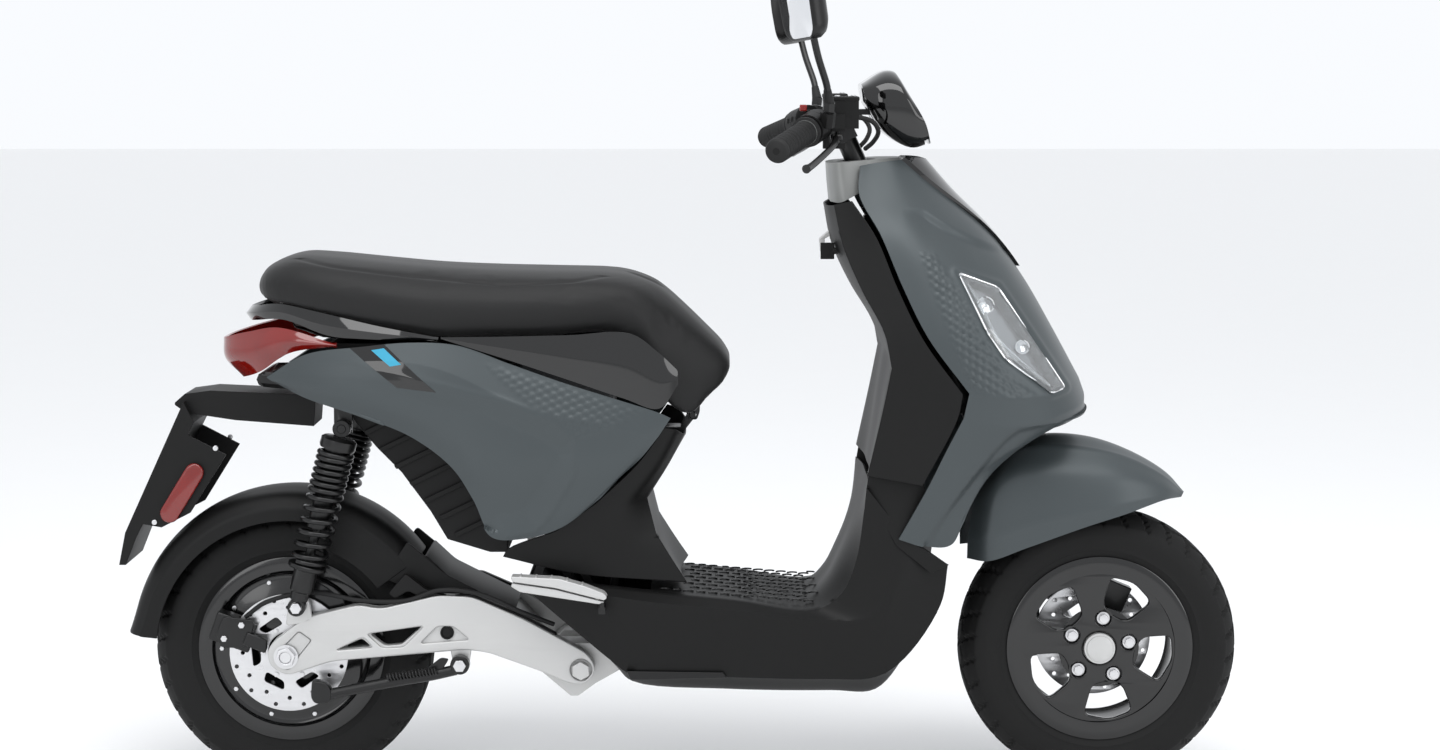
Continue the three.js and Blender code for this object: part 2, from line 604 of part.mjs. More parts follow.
addPart('ignition_key', join(bar([keyAt.s - 12, keyAt.y, keyAt.z], [keyAt.s + 6, keyAt.y, keyAt.z], 5),
  block([20, 4, 24], [keyAt.s - 20, keyAt.y, keyAt.z])), matteBlack);
addPart('bag_hook', join(block([8, 16, 18], [hookHinge.s - 2, 0, hookHinge.z]),
  plate([[hookHinge.s - 2, hookHinge.z + 9], [hookHinge.s - 22, hookHinge.z - 8],
    [hookHinge.s - 20, hookHinge.z - 28],
    [hookHinge.s - 13, hookHinge.z - 26], [hookHinge.s - 14, hookHinge.z - 8], [hookHinge.s + 2,
      hookHinge.z]], -8, 8)),
castSilver);

const coverRing = (points) => [...points, ...points.slice(1, -1).reverse().map(mirrorPoint)];
const movedForward = (points) => points.map(([s, y, z]) => [s + frontShift, y, z]);
const coverLow = coverRing(movedForward([[797, 0, 871], [799, -58, 871], [812, -88, 872], [850, -80, 892],
  [884, -62, 906], [908, -34, 918],
  [914, 0, 920]]));
const coverHigh = coverRing(movedForward([[792, 0, 926], [794, -48, 927], [806, -74, 928],
  [840, -66, 931],
  [868, -56, 933], [896, -34, 934],
  [904, 0, 934]]));
const shrunk = (ring, by, drop) => ring.map(([s, y, z]) => {
  const middle = 852 + frontShift;
  const away = Math.hypot(s - middle, y);
  return [s - (s - middle) / away * by, y - y / away * by, z + drop];
});
const coverHollow = loft([shrunk(coverLow, panelWall, -20), shrunk(coverLow, panelWall, 0),
  shrunk(coverHigh, panelWall, -4)]);
addPart('steering_cover', cut(loft([coverLow, coverHigh]), coverHollow,
  bar(onSteer(headTop - 10), onSteer(980), headTubeRadius + 3, 14), shell(shieldGrid,
    { ...shieldWide, lift: 2.5, wall: 60 })),
lightGrey);

const floorRing = ([s0, z0], [s1, y1, z1], [s2, y2, z2], [s3, y3, z3], [s4, z4]) => coverRing([
  [s0, 0, z0], [s0, -70, z0], [s1, -y1, z1], [s2, -y2, z2], [s3, -y3, z3], [s4, -72, z4], [s4, 0, z4]]);
const floorRings = [
  floorRing([352, 314], [352, 136, 317], [354, 142, 321], [360, 128, 327], [362, 326]),
  floorRing([440, 238], [430, 138, 250], [426, 147, 310], [437, 129, 320], [440, 321]),
  floorRing([484, 186], [484, 136, 204], [480, 148, 306], [482, 130, 315], [484, 317]),
  floorRing([506, 164], [500, 134, 192], [520, 148, 300], [524, 130, 310], [524, 312]),
  floorRing([650, 152], [645, 132, 184], [655, 148, 285], [655, 130, 297], [655, 300]),
  floorRing([800, 150], [790, 132, 181], [790, 148, 272], [776, 131, 284], [765, 290]),
  floorRing([866, 152], [862, 132, 184], [868, 148, 276], [812, 136, 308], [792, 312]),
  floorRing([908, 206], [904, 134, 212], [892, 150, 334], [832, 142, 356], [812, 350]),
  floorRing([930, 290], [956, 134, 292], [918, 141, 378], [842, 151, 424], [836, 410]),
  floorRing([934, 352], [966, 132, 350], [897, 142, 400], [846, 157, 466], [852, 468]),
].map((ring) => ring.map(([s, y, z]) => [
  s + frontShift * Math.min(Math.max((s - 524) / 241, 0), 1),
  y * (floorHalfWidth / 148),
  z + (floorHeight - 300),
]));
const shieldRoom = shell(shieldGrid, { ...shieldWide, lift: 6, wall: panelWall + 11 });
function floorFairing() {
  let body = shell(floorRings, { wrap: true, flip: true });
  for (const side of [-1, 1]) body = cut(body, block([16, 60, 18],
    [footHinge.s, side * 140, footHinge.z - 11]));
  body = cut(body, block([160, 226, 60], [455, 0, 325]), plate(grown(keelOutline, 3), -71, 71));
  return cut(body, shieldRoom, shell(legGrid, { flip: true, lift: 2, wall: 8 }));
}
addPart('floor_fairing', floorFairing(), matteBlack);

// ---------- pedestal, side panels and gloss trims ----------
const pedestalCage = [
  [[556, -138, 550], [572, -128, 546], [584, -100, 536], [586, 0, 526]],
  [[518, -140, 499], [545, -130, 497], [563, -100, 495], [566, 0, 492]],
  [[456, -140, 440], [500, -131, 440], [530, -98, 442], [530, 0, 434]],
  [[398, -140, 400], [480, -131, 392], [543, -100, 390], [545, 0, 386]],
  [[330, -138, 374], [450, -131, 352], [568, -104, 350], [562, 0, 350]],
  [[322, -136, 362], [430, -131, 336], [588, -108, 320], [578, 0, 319]],
];
addPart('seat_pedestal', shell(refine(pedestalCage.map(fullRow), 1, 1), { flip: true }), matteBlack);

const panelScale = panelHalfWidth / 174;
const panelCage = [
  [[-20, -100, 620], [-18, -101, 618], [-15, -102, 616], [-12, -102, 614], [-8, -101, 612]],
  [[40, -122, 655], [40, -128, 640], [40, -130, 622], [39, -128, 606], [38, -120, 592]],
  [[123, -142, 668], [125, -152, 648], [125, -156, 620], [124, -154, 592], [123, -142, 566]],
  [[196, -150, 675], [200, -164, 646], [200, -170, 610], [197, -166, 570], [194, -152, 537]],
  [[262, -152, 671], [258, -170, 630], [256, -174, 590], [254, -170, 540], [251, -156, 494]],
  [[335, -152, 645], [325, -172, 598], [310, -176, 545], [292, -170, 495], [279, -158, 450]],
  [[408, -152, 619], [400, -170, 572], [372, -174, 510], [335, -166, 450], [307, -154, 395]],
  [[480, -151, 596], [460, -164, 560], [430, -168, 505], [385, -158, 440], [350, -150, 391]],
  [[548, -149, 574], [530, -154, 545], [500, -156, 500], [455, -152, 450], [407, -147, 407]],
  [[565, -148, 566], [548, -148, 540], [522, -148, 508], [490, -148, 478], [464, -147, 450]],
].map((row) => row.map(([s, y, z]) => [s, y * panelScale, z]));
const trimCage = [
  [[238, -153, 683], [238, -154, 681.5], [240, -153, 680]],
  [[330, -153, 684], [330, -158, 668], [332, -154, 651]],
  [[420, -153, 686], [418, -160, 655], [416, -154, 623]],
  [[508, -150, 688], [504, -157, 640], [498, -152, 595]],
  [[548, -144, 660], [549, -152, 620], [549, -149, 580]],
  [[575, -138, 634], [576, -143, 622], [576, -144, 614]],
].map((row) => row.map(([s, y, z]) => [s, y * panelScale, z]));
for (const [word, turn] of [['right', (body) => body], ['left', mirrored]]) {
  addPart(`side_panel_${word}`, turn(shell(refine(panelCage, 1, 1), { flip: true })), satinBlueGrey);
  addPart(`side_trim_${word}`, turn(shell(refine(trimCage, 1, 2), { flip: true })), glossBlack);
}

// ---------- tail: grab handle, tail light and plate bracket ----------
const handleCage = [
  [[234, -150, 682], [150, -141, 697], [60, -122, 716], [0, -98, 726], [-40, -58, 720], [-56, 0, 716]],
  [[234, -154, 679.5], [150, -148, 688], [64, -130, 699], [4, -106, 714], [-46, -64, 710], [-64, 0, 705]],
  [[232, -151, 677], [120, -140, 679], [74, -126, 682], [8, -104, 703], [-40, -62, 699], [-56, 0, 694]],
];
addPart('grab_handle', shell(refine(handleCage.map(fullRow), 1, 1), { flip: false, wall: 5 }),
  glossBlack);
const tailCage = [
  [[84, -129, 670.5], [0, -106, 692], [-48, -80, 684], [-88, -42, 673], [-98, 0, 669]],
  [[85, -132, 669], [6, -116, 672], [-42, -90, 655], [-86, -46, 642], [-96, 0, 640]],
  [[84, -130, 667.5], [14, -107, 655], [-30, -86, 627], [-62, -44, 614], [-70, 0, 612]],
];
addPart('tail_light', shell(refine(tailCage.map(fullRow), 1, 1), { flip: false, wall: 6 }), redLens);

function plateBracket() {
  const arm = plate([[42, 586], [38, 540], [-78, 549], [-150, 560], [-166, 571.5], [-166, 575],
    [-151, 588], [-114, 593]],
    -42, 42);
  const carrier = plate([[-150, 578], [-135, 548], [-222, 380], [-240, 336], [-250, 336], [-240, 384]],
    -60, 60);
  const bolt = bar([-244, 0, 340], [-tailReach, 0, 340], 6, 12);
  let body = join(arm, carrier, bolt);
  for (const [low, high] of [[-60, -56], [56, 60]]) {
    body = join(body, plate([[-89, 500], [-150, 532], [-218, 398], [-186, 392], [-143, 414]], low, high));
  }
  return body;
}
addPart('plate_bracket', plateBracket(), matteBlack);

// ---------- storage bucket with the ribbed inner fender outside it, and the battery ----------
const bucketOutline = [[66, 668], [66, 602], [136, 516], [172, 479], [214, 421], [238, 380], [300, 361],
  [326, 361], [326, 668]];
const bucketInside = [[70, 700], [70, 605], [139, 520], [175, 483], [217, 425], [241, 384], [300, 366],
  [321, 366], [321, 700]];
const bucketHalf = 92;
addPart('storage_bucket', cut(plate(bucketOutline, -bucketHalf, bucketHalf),
  plate(bucketInside, -bucketHalf + panelWall, bucketHalf - panelWall), bar([400, -110, 365],
    [400, 110, 365], 12)), matteBlack);
addPart('battery_pack', plate([[345, 400], [460, 400], [480, 440], [480, 650], [345, 650]], -80, 80),
  batteryGrey);

// ---------- seat ----------
const seatStations = [
  [-38, 742, 758, 62], [-22, 736, 777, 92], [18, 729, 793, 116], [62, 720, 792, 130], [134, 705, 785,
    140],
  [222, 691, 777, 143], [311, 690, 773, 143], [400, 691, 771, 141], [486, 694, 768, 134], [524, 664,
    758, 126],
  [556, 582, 740, 116], [590, 562, 709, 104], [616, 584, 683, 92], [636, 602, 662, 80], [648, 622, 642,
    64],
];
function seatSolid() {
  const rings = seatStations.map(([s, low, high, half]) => {
    const top = high + (seatHeight - 773), width = half * (seatHalfWidth / 143), h = top - low;
    const right = [[0, top], [-0.55 * width, top - 0.04 * h], [-0.86 * width, top - 0.2 * h],
      [-width, top - 0.5 * h],
      [-0.97 * width, low + 0.14 * h], [-0.9 * width, low], [0, low]];
    return coverRing(right.map(([y, z]) => [Math.max(s, seatTailStation), y, z]));
  });
  const underside = plate([[500, 640], [500, 560], [612, 520], [612, 600], [560, 660]], -96, 96);
  let seat = cut(loft(rings), underside);
  for (const side of [-1, 1]) {
    const [low, high] = side < 0 ? [-37, -28] : [28, 37];
    const tab = [[560, 668], [612, 668], [606, 560], [602, 549], [590, 549], [586, 560]];
    seat = join(seat, cut(plate(tab, low, high), cross(seatHinge, low - 1, high + 1,
      seatPinRadius + gap, 10)));
  }
  return seat;
}
addPart('seat', seatSolid(), seatBlack);

// ---------- steering: stem, link arm, shock, fender ----------
const legY = [57, 71], armY = [73, 87], shockY = 101;
const linkPoint = (distance, angle) => ({ s: linkPivot.s + frontShift + distance * Math.cos(angle),
  z: linkPivot.z + distance * Math.sin(angle) });
const linkEye = linkPoint(linkLength, linkEyeAngle);
const frontShockTop = { s: linkEye.s + frontShockLength * steerDirection[0],
  z: linkEye.z + frontShockLength * steerDirection[2] };
const linkAt = { s: linkPivot.s + frontShift, z: linkPivot.z };
const forkLine = [onSteer(512), onSteer(468, 0, 8),
  ...[[1072, 46, 440], [1086, 64, 405], [1092, 64, 370]].map(([s, y, z]) => [s + frontShift, y, z])];
function steeringStem() {
  let body = bar(onSteer(500), onSteer(stemTop), stemRadius, 12);
  body = join(body, bar(onSteer(headBottom - 14), onSteer(headBottom - gap), 22),
    bar(onSteer(headTop + gap), onSteer(headTop + 10), 22));
  body = join(body, swept(forkLine, 15, 9, 8));
  const leg = [[1070 + frontShift, 392], [1108 + frontShift, 392],
    [frontShockTop.s + 12, frontShockTop.z],
    [linkAt.s + 18, linkAt.z - 8], [linkAt.s, linkAt.z - 20], [linkAt.s - 18, linkAt.z - 6],
    [1074 + frontShift, 300]];
  body = join(body, plate(leg, ...legY));
  body = join(body, cross(linkAt, legY[0], armY[1] + 8, 8),
    cross(frontShockTop, legY[0], shockY + 12, eyePin, 12));
  return body;
}
addPart('steering_stem', steeringStem(), blackMetal);

function linkArm() {
  const hubCentre = frontAxle;
  const outline = [[linkAt.s - 20, linkAt.z], [linkAt.s - 8, linkAt.z - 20],
    [hubCentre.s, hubCentre.z - 26],
    [hubCentre.s + 24, hubCentre.z], [hubCentre.s + 8, hubCentre.z + 26], [linkEye.s - 10,
      linkEye.z + 18],
    [linkAt.s, linkAt.z + 20]];
  let arm = cut(plate(outline, ...armY), cross(linkAt, 40, 120, 8 + gap));
  arm = join(arm, cross(frontAxle, -42, armY[1] + 6, axleRadius),
    cross(frontAxle, frontDiscY + discThickness + 4, armY[0] + 1, 24));
  return join(arm, cross(linkEye, armY[0] + 2, shockY + 12, eyePin, 12));
}
addPart('front_link_arm', linkArm(), castSilver);
function frontCaliper() {
  const body = join(block([44, 24, 40], [frontAxle.s + 30 + 0.4 * discGrowth, frontDiscY + 2,
    frontAxle.z + 66 + 0.9 * discGrowth], [0, 0.4, 0]),
    plate([[frontAxle.s + 4, frontAxle.z + 28], [frontAxle.s + 26, frontAxle.z + 10],
      [frontAxle.s + 48, frontAxle.z + 60 + discGrowth],
      [frontAxle.s + 20, frontAxle.z + 76 + discGrowth]], 46, 60));
  return cut(body, cross(frontAxle, frontDiscY - 1.5, frontDiscY + discThickness + 1.5, discRadius + 2,
    24),
    cross(frontAxle, 0, frontDiscY, 44, 20), cross(frontAxle, 40, 80, 26, 16));
}
addPart('front_caliper', frontCaliper(), blackMetal);
function frontShockPart(from, to, radius) {
  const at = (d) => [frontShockTop.s - d * steerDirection[0], shockY,
    frontShockTop.z - d * steerDirection[2]];
  return bar(at(from), at(to), radius, 10);
}
const frontEye = (place, bore) => [cross(place, shockY - 8, shockY + 8, 11),
  cross(place, shockY - 20, shockY + 20, bore)];
const [topEye, topBore] = frontEye(frontShockTop, eyePin + gap);
const [lowEye, lowBore] = frontEye(linkEye, eyeBore);
addPart('front_shock_body', cut(join(cut(topEye, topBore), frontShockPart(10, 96, 17)),
  frontShockPart(40, 98, 11)), blackMetal);
addPart('front_shock_rod', join(cut(lowEye, lowBore), frontShockPart(74, frontShockLength - 9, 8)),
  steel);

const fenderCage = [
  [[1000, -60, 346], [1000, -66, 380], [1012, -60, 440], [1030, -40, 468], [1040, 0, 474]],
  [[1030, -84, 346], [1030, -90, 380], [1040, -84, 460], [1062, -50, 500], [1075, 0, 506]],
  [[1085, -88, 366], [1088, -93, 400], [1092, -84, 470], [1104, -50, 512], [1112, 0, 522]],
  [[1172, -86, 397], [1172, -89, 420], [1174, -78, 470], [1176, -46, 508], [1180, 0, 520]],
  [[1232, -78, 415], [1232, -79, 432], [1236, -68, 466], [1240, -40, 492], [1244, 0, 499]],
  [[1290, -52, 431], [1290, -52, 438], [1292, -46, 450], [1296, -28, 462], [1300, 0, 466]],
  [[1322, -14, 430], [1323, -14, 431.5], [1324, -12, 433], [1326, -8, 435], [1328, 0, 436]],
].map((row) => row.map(([s, y, z]) => [s + frontShift, y, z]));
const stemRoom = bar(onSteer(430), onSteer(560), 22);
addPart('front_fender', cut(shell(refine(fenderCage.map(fullRow), 1, 1), { flip: false }), stemRoom,
  swept(forkLine, 17, 9, 8)), satinBlueGrey);

// ---------- handlebar, controls, headlamp and mirrors ----------
const barScale = handlebarHalfWidth / 345;
const barShift = frontShift - lift * Math.tan(rake);
const at = (s, y, z) => [s + barShift, y * barScale, z + lift];
const gripLine = [at(757, -226, 977), at(711, -345, 953)];
const onGrip = (share) => gripLine[0].map((v, i) => v + (gripLine[1][i] - v) * share);
const barHalf = [onGrip(0.93), onGrip(0.5), onGrip(0), onGrip(-0.35), at(802, -75, 987)];
const barLine = [...barHalf, at(808, 0, 980), ...barHalf.slice().reverse().map(mirrorPoint)];
const bars = swept(barLine, barRadius, 24, 8);
const stemBore = bar(onSteer(900 + lift), onSteer(stemTop + 0.5), stemRadius + gap, 12);
const clamp = cut(block([44, 52, 44], at(808, 0, 976), [0, -rake, 0]), stemBore,
  block([30, 14, 80], at(770, 0, 950)));
const bracket = block([64, 40, 8], at(846, 0, 1000));
addPart('handlebar', cut(join(bars, clamp, bracket), stemBore), blackMetal);

function grip() {
  const sleeve = join(bar(onGrip(0.06), onGrip(1), gripRadius, 14),
    bar(onGrip(0.02), onGrip(0.07), gripRadius + 4, 14));
  return cut(sleeve, bar(onGrip(-0.2), onGrip(0.96), barRadius + 1.5, 10));
}
addPart('throttle_grip', grip(), rubberBlack);
addPart('left_grip', mirrored(grip()), rubberBlack);

const leverPivot = at(800, -186, 968);
function controls() {
  const housing = bar(onGrip(-0.36), onGrip(-0.01), 22, 14);
  const reservoir = block([36, 46, 40], at(812, -170, 1000));
  const perch = join(block([40, 50, 20], at(790, -176, 990)), block([30, 16, 8], at(796, -186, 980)),
    block([30, 16, 8], at(796, -186, 956)),
    block([8, 16, 32], at(784, -186, 968)));
  const boss = bar(at(784, -220, 984), at(785.9, -225.8, 1003.2), 11, 8);
  const pin = bar([leverPivot[0], leverPivot[1], leverPivot[2] - 14],
    [leverPivot[0], leverPivot[1], leverPivot[2] + 14], 3.5, 8);
  const barRoom = swept(barLine, barRadius + gap, 24, 8);
  return cut(join(housing, reservoir, perch, boss, pin), barRoom);
}
const killAt = at(752, -196, 1011);
const killRoom = block([14, 18, 20], killAt);
addPart('controls_right', cut(controls(), killRoom), matteBlack);
addPart('controls_left', mirrored(controls()), matteBlack);
addPart('kill_switch', block([10, 14, 9], [killAt[0], killAt[1], killAt[2] - 2]), redPlastic);

function lever() {
  const blade = swept([leverPivot, at(792, -232, 957), at(772, -285, 940), at(752, -335, 928)], 5.5, 7,
    6);
  const eye = bar([leverPivot[0], leverPivot[1], leverPivot[2] - 5],
    [leverPivot[0], leverPivot[1], leverPivot[2] + 5], 9, 10);
  return cut(join(cut(blade, block([30, 24, 40], [leverPivot[0], leverPivot[1] + 12, leverPivot[2]])),
    eye),
    bar([leverPivot[0], leverPivot[1], leverPivot[2] - 30],
      [leverPivot[0], leverPivot[1], leverPivot[2] + 30], 4, 8));
}
addPart('lever_right', lever(), blackMetal);
addPart('lever_left', mirrored(lever()), blackMetal);

function mirror() {
  const foot = bar(at(786.1, -226.4, 1005), at(787, -229, 1016), 9, 6);
  const stem = swept([at(787, -229, 1014), at(783, -240, 1040), at(770, -262, 1080),
    at(760, -282, 1120)], 5, 8, 6);
  const [s, y, z] = at(750, -304, mirrorHeight - 2);
  const outline = [[-62, -34], [-48, -46], [30, -50], [58, -38], [66, 10], [56, 46], [-30, 52],
    [-60, 34]];
  const ringAt = (depth, share) => outline.map(([across, up]) => [depth, across * share, up * share]);
  const head = loft([ringAt(-14, 0.96), ringAt(-8, 1), ringAt(6, 0.94), ringAt(18, 0.6), ringAt(22, 0.3)])
    .rotate([0, -8, 18]).translate([s, y, z]);
  return join(foot, stem, head);
}
addPart('mirror_right', mirror(), blackMetal);
addPart('mirror_left', mirrored(mirror()), blackMetal);

const lampRing = (points) => coverRing(points.map(([s, y, z]) => at(s, y, z)));
const lampRings = [
  lampRing([[840, 0, 1040], [841, -46, 1040], [842, -66, 1034], [844, -70, 1024], [846, -60, 1014],
    [848, 0, 1012]]),
  lampRing([[872, 0, 1060], [873, -52, 1057], [874, -78, 1040], [872, -84, 1000], [872, -62, 976],
    [874, 0, 972]]),
  lampRing([[888, 0, 1060], [890, -50, 1056], [900, -80, 1034], [912, -84, 996], [912, -62, 954],
    [914, 0, 950]]),
  lampRing([[892, 0, 1056], [896, -46, 1050], [910, -74, 1024], [932, -76, 986], [941, -56, 958],
    [944, 0, 956]]),
];
const lensRoom = plate([[904, 1060], [950, 1060], [960, 950], [936, 950], [928, 975],
  [902, 1032]].map(([s, z]) => [s + barShift, z + lift]), -62, 62);
const lampBody = loft(lampRings);
const lampHollow = join(block([30, 44, 12], at(864, 0, 1000)), block([24, 60, 30], at(850, 0, 984)));
addPart('headlamp_housing', cut(lampBody, lensRoom, lampHollow), glossBlack);
const lensTrim = plate([[905, 1060], [950, 1060], [960, 950], [937, 950], [929, 976],
  [903, 1032]].map(([s, z]) => [s + barShift, z + lift]), -61.2, 61.2);
addPart('headlamp_lens', lampBody.intersect(lensTrim), clearLens);

// ---------- folding footrests ----------
function footrest() {
  const outline = [[334, 343], [406, 340], [446, 328], [474, 315], [475, 304], [462, 300], [349, 318],
    [334, 330]];
  const body = plate(outline, -178, -152);
  const foldRoom = block([9, 9, 80], [footHinge.s + 9, 13 - footHinge.y, 320], [0, 0, Math.PI / 4]);
  return cut(body, foldRoom, bar([footHinge.s, -footHinge.y, 280], [footHinge.s, -footHinge.y, 311],
    5.2));
}
addPart('footrest_right', footrest(), castSilver);
addPart('footrest_left', mirrored(footrest()), castSilver);

// The origin is on the ground under the middle of the whole length.
scooter.position.x = -(wheelbase + tyreRadius - tailReach) / 2;
scooter.updateMatrixWorld(true);
export default scooter;
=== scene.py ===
"""Looks of an electric moped scooter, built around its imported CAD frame.

Points are written as (s, y, z) in millimetres: s runs forward from the rear axle, y to the rider's
left and z up from the ground. P() turns them into the frame's metres.
"""
import json
import math

import bmesh
import bpy
import numpy as np
from mathutils import Matrix, Vector, noise


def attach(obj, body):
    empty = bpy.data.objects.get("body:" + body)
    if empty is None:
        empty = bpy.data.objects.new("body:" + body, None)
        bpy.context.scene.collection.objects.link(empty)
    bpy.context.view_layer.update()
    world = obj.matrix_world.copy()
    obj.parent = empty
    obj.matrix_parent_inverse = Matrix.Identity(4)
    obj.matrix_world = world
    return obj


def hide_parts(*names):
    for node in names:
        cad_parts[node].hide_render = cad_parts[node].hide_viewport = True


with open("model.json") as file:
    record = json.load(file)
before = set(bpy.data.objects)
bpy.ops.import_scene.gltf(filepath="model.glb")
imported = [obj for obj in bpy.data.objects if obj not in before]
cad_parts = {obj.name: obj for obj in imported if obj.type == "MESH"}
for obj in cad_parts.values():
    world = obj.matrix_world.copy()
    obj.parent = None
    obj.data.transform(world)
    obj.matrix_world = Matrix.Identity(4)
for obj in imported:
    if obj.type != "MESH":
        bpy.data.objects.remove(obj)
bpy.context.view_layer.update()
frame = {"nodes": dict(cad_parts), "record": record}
scene = bpy.context.scene

MM = 0.001
WHEELBASE = 1200
TYRE_RADIUS = 207
REAR_AXLE_X = -0.577


def P(s, y, z):
    return Vector((s * MM + REAR_AXLE_X, y * MM, z * MM))


# ---------- materials ----------
def material(name, color, rough, metal=0.0, coat=0.0, coat_rough=0.05, vary=0.0, vary_scale=6.0, rough_vary=0.0,
             bumps=(), sheen=0.0, transmission=0.0, ior=1.5, stretch=(1, 1, 1), shine=0.5):
    """A Principled material with cloudy colour and roughness changes and layers of (texture, scale, depth mm)."""
    mat = bpy.data.materials.new(name)
    mat.use_nodes = True
    nodes, links = mat.node_tree.nodes, mat.node_tree.links
    shader = nodes["Principled BSDF"]
    shader.inputs["Metallic"].default_value = metal
    shader.inputs["Coat Weight"].default_value = coat
    shader.inputs["Coat Roughness"].default_value = coat_rough
    shader.inputs["Sheen Weight"].default_value = sheen
    shader.inputs["Transmission Weight"].default_value = transmission
    shader.inputs["IOR"].default_value = ior
    shader.inputs["Specular IOR Level"].default_value = shine
    where = nodes.new("ShaderNodeTexCoord")
    mapping = nodes.new("ShaderNodeMapping")
    mapping.inputs["Scale"].default_value = stretch
    links.new(where.outputs["Object"], mapping.inputs["Vector"])
    cloud = nodes.new("ShaderNodeTexNoise")
    cloud.inputs["Scale"].default_value = vary_scale
    cloud.inputs["Detail"].default_value = 5
    links.new(mapping.outputs["Vector"], cloud.inputs["Vector"])
    tint = nodes.new("ShaderNodeMapRange")
    tint.inputs["To Min"].default_value = 1 - vary
    tint.inputs["To Max"].default_value = 1 + vary
    links.new(cloud.outputs["Fac"], tint.inputs["Value"])
    scaled = nodes.new("ShaderNodeVectorMath")
    scaled.operation = "SCALE"
    scaled.inputs[0].default_value = color
    links.new(tint.outputs["Result"], scaled.inputs["Scale"])
    links.new(scaled.outputs["Vector"], shader.inputs["Base Color"])
    gloss = nodes.new("ShaderNodeMapRange")
    gloss.inputs["To Min"].default_value = max(rough - rough_vary, 0.02)
    gloss.inputs["To Max"].default_value = rough + rough_vary
    links.new(cloud.outputs["Fac"], gloss.inputs["Value"])
    links.new(gloss.outputs["Result"], shader.inputs["Roughness"])
    last = None
    for kind, scale, depth in bumps:
        if kind == "voronoi":
            texture = nodes.new("ShaderNodeTexVoronoi")
            height = texture.outputs["Distance"]
        else:
            texture = nodes.new("ShaderNodeTexNoise")
            texture.inputs["Detail"].default_value = 3
            height = texture.outputs["Fac"]
        texture.inputs["Scale"].default_value = scale
        links.new(mapping.outputs["Vector"], texture.inputs["Vector"])
        bump = nodes.new("ShaderNodeBump")
        bump.inputs["Distance"].default_value = depth * MM
        bump.inputs["Strength"].default_value = 1.0
        links.new(height, bump.inputs["Height"])
        if last:
            links.new(last.outputs["Normal"], bump.inputs["Normal"])
        last = bump
    if last:
        links.new(last.outputs["Normal"], shader.inputs["Normal"])
    return mat


satin = material("satin_blue_grey", (0.050, 0.060, 0.064), 0.40, metal=0.35, coat=0.10, coat_rough=0.35,
                 vary=0.03,
                 rough_vary=0.03, bumps=[("noise", 1500, 0.012)], shine=0.4)
light_grey = material("light_grey", (0.20, 0.205, 0.20), 0.42, metal=0.25, vary=0.03,
                      bumps=[("noise", 1400, 0.015)])
gloss = material("gloss_black", (0.0015, 0.0015, 0.0016), 0.06, coat=0.5, coat_rough=0.02, vary=0.1,
                 rough_vary=0.02, shine=0.4)
matte = material("matte_black", (0.0040, 0.0040, 0.0040), 0.50, vary=0.08, rough_vary=0.05,
                 bumps=[("noise", 900, 0.05), ("noise", 60, 0.03)], shine=0.22)
satin_black = material("satin_black", (0.0034, 0.0034, 0.0036), 0.36, vary=0.06, rough_vary=0.04,
                       bumps=[("noise", 1100, 0.03)],
                       shine=0.35)
black_metal = material("black_metal", (0.0030, 0.0030, 0.0032), 0.32, metal=0.1, coat=0.1, vary=0.1,
                       rough_vary=0.06,
                       bumps=[("noise", 500, 0.02)], shine=0.4)
wheel_black = material("wheel_black", (0.0024, 0.0024, 0.0026), 0.16, coat=0.4, vary=0.08, rough_vary=0.03,
                       shine=0.4)
cast_silver = material("cast_silver", (0.50, 0.50, 0.495), 0.42, metal=0.45, coat=0.05, coat_rough=0.3,
                       vary=0.05, rough_vary=0.06,
                       bumps=[("noise", 420, 0.05), ("noise", 30, 0.05)])
steel = material("steel", (0.62, 0.62, 0.63), 0.30, metal=1.0, vary=0.05, rough_vary=0.10, vary_scale=40,
                 bumps=[("noise", 700, 0.02)])
rubber = material("tyre_rubber", (0.0050, 0.0050, 0.0050), 0.70, vary=0.12, rough_vary=0.08,
                  bumps=[("noise", 350, 0.06)], shine=0.25)
grip_rubber = material("grip_rubber", (0.009, 0.009, 0.0092), 0.62, vary=0.06, bumps=[("noise", 600, 0.04)],
                       shine=0.3)
vinyl = material("seat_cover", (0.0075, 0.0075, 0.0077), 0.55, vary=0.05, rough_vary=0.04, sheen=0.06,
                 bumps=[("voronoi", 620, 0.06), ("noise", 45, 0.06)], shine=0.28)
clear = material("clear_lens", (0.92, 0.94, 0.95), 0.04, transmission=0.92, ior=1.46, coat=0.3)
red_lens = material("red_lens", (0.16, 0.004, 0.002), 0.10, coat=0.6, vary=0.25, vary_scale=25, rough_vary=0.03)
red_plastic = material("red_plastic", (0.22, 0.008, 0.005), 0.35, vary=0.06, bumps=[("noise", 700, 0.03)])
chrome = material("chrome", (0.80, 0.81, 0.82), 0.12, metal=1.0, vary=0.03, rough_vary=0.04)
lamp_inner = material("lamp_inner", (0.30, 0.31, 0.32), 0.18, metal=0.9, vary=0.2, vary_scale=30,
                      rough_vary=0.06)
cyan = material("cyan_mark", (0.012, 0.27, 0.42), 0.4, vary=0.03, bumps=[("noise", 900, 0.01)])
mirror_glass = material("mirror_glass", (0.85, 0.86, 0.88), 0.03, metal=1.0, vary=0.01, rough_vary=0.01)
battery_grey = material("battery_grey", (0.04, 0.042, 0.045), 0.5, vary=0.05, bumps=[("noise", 700, 0.03)])

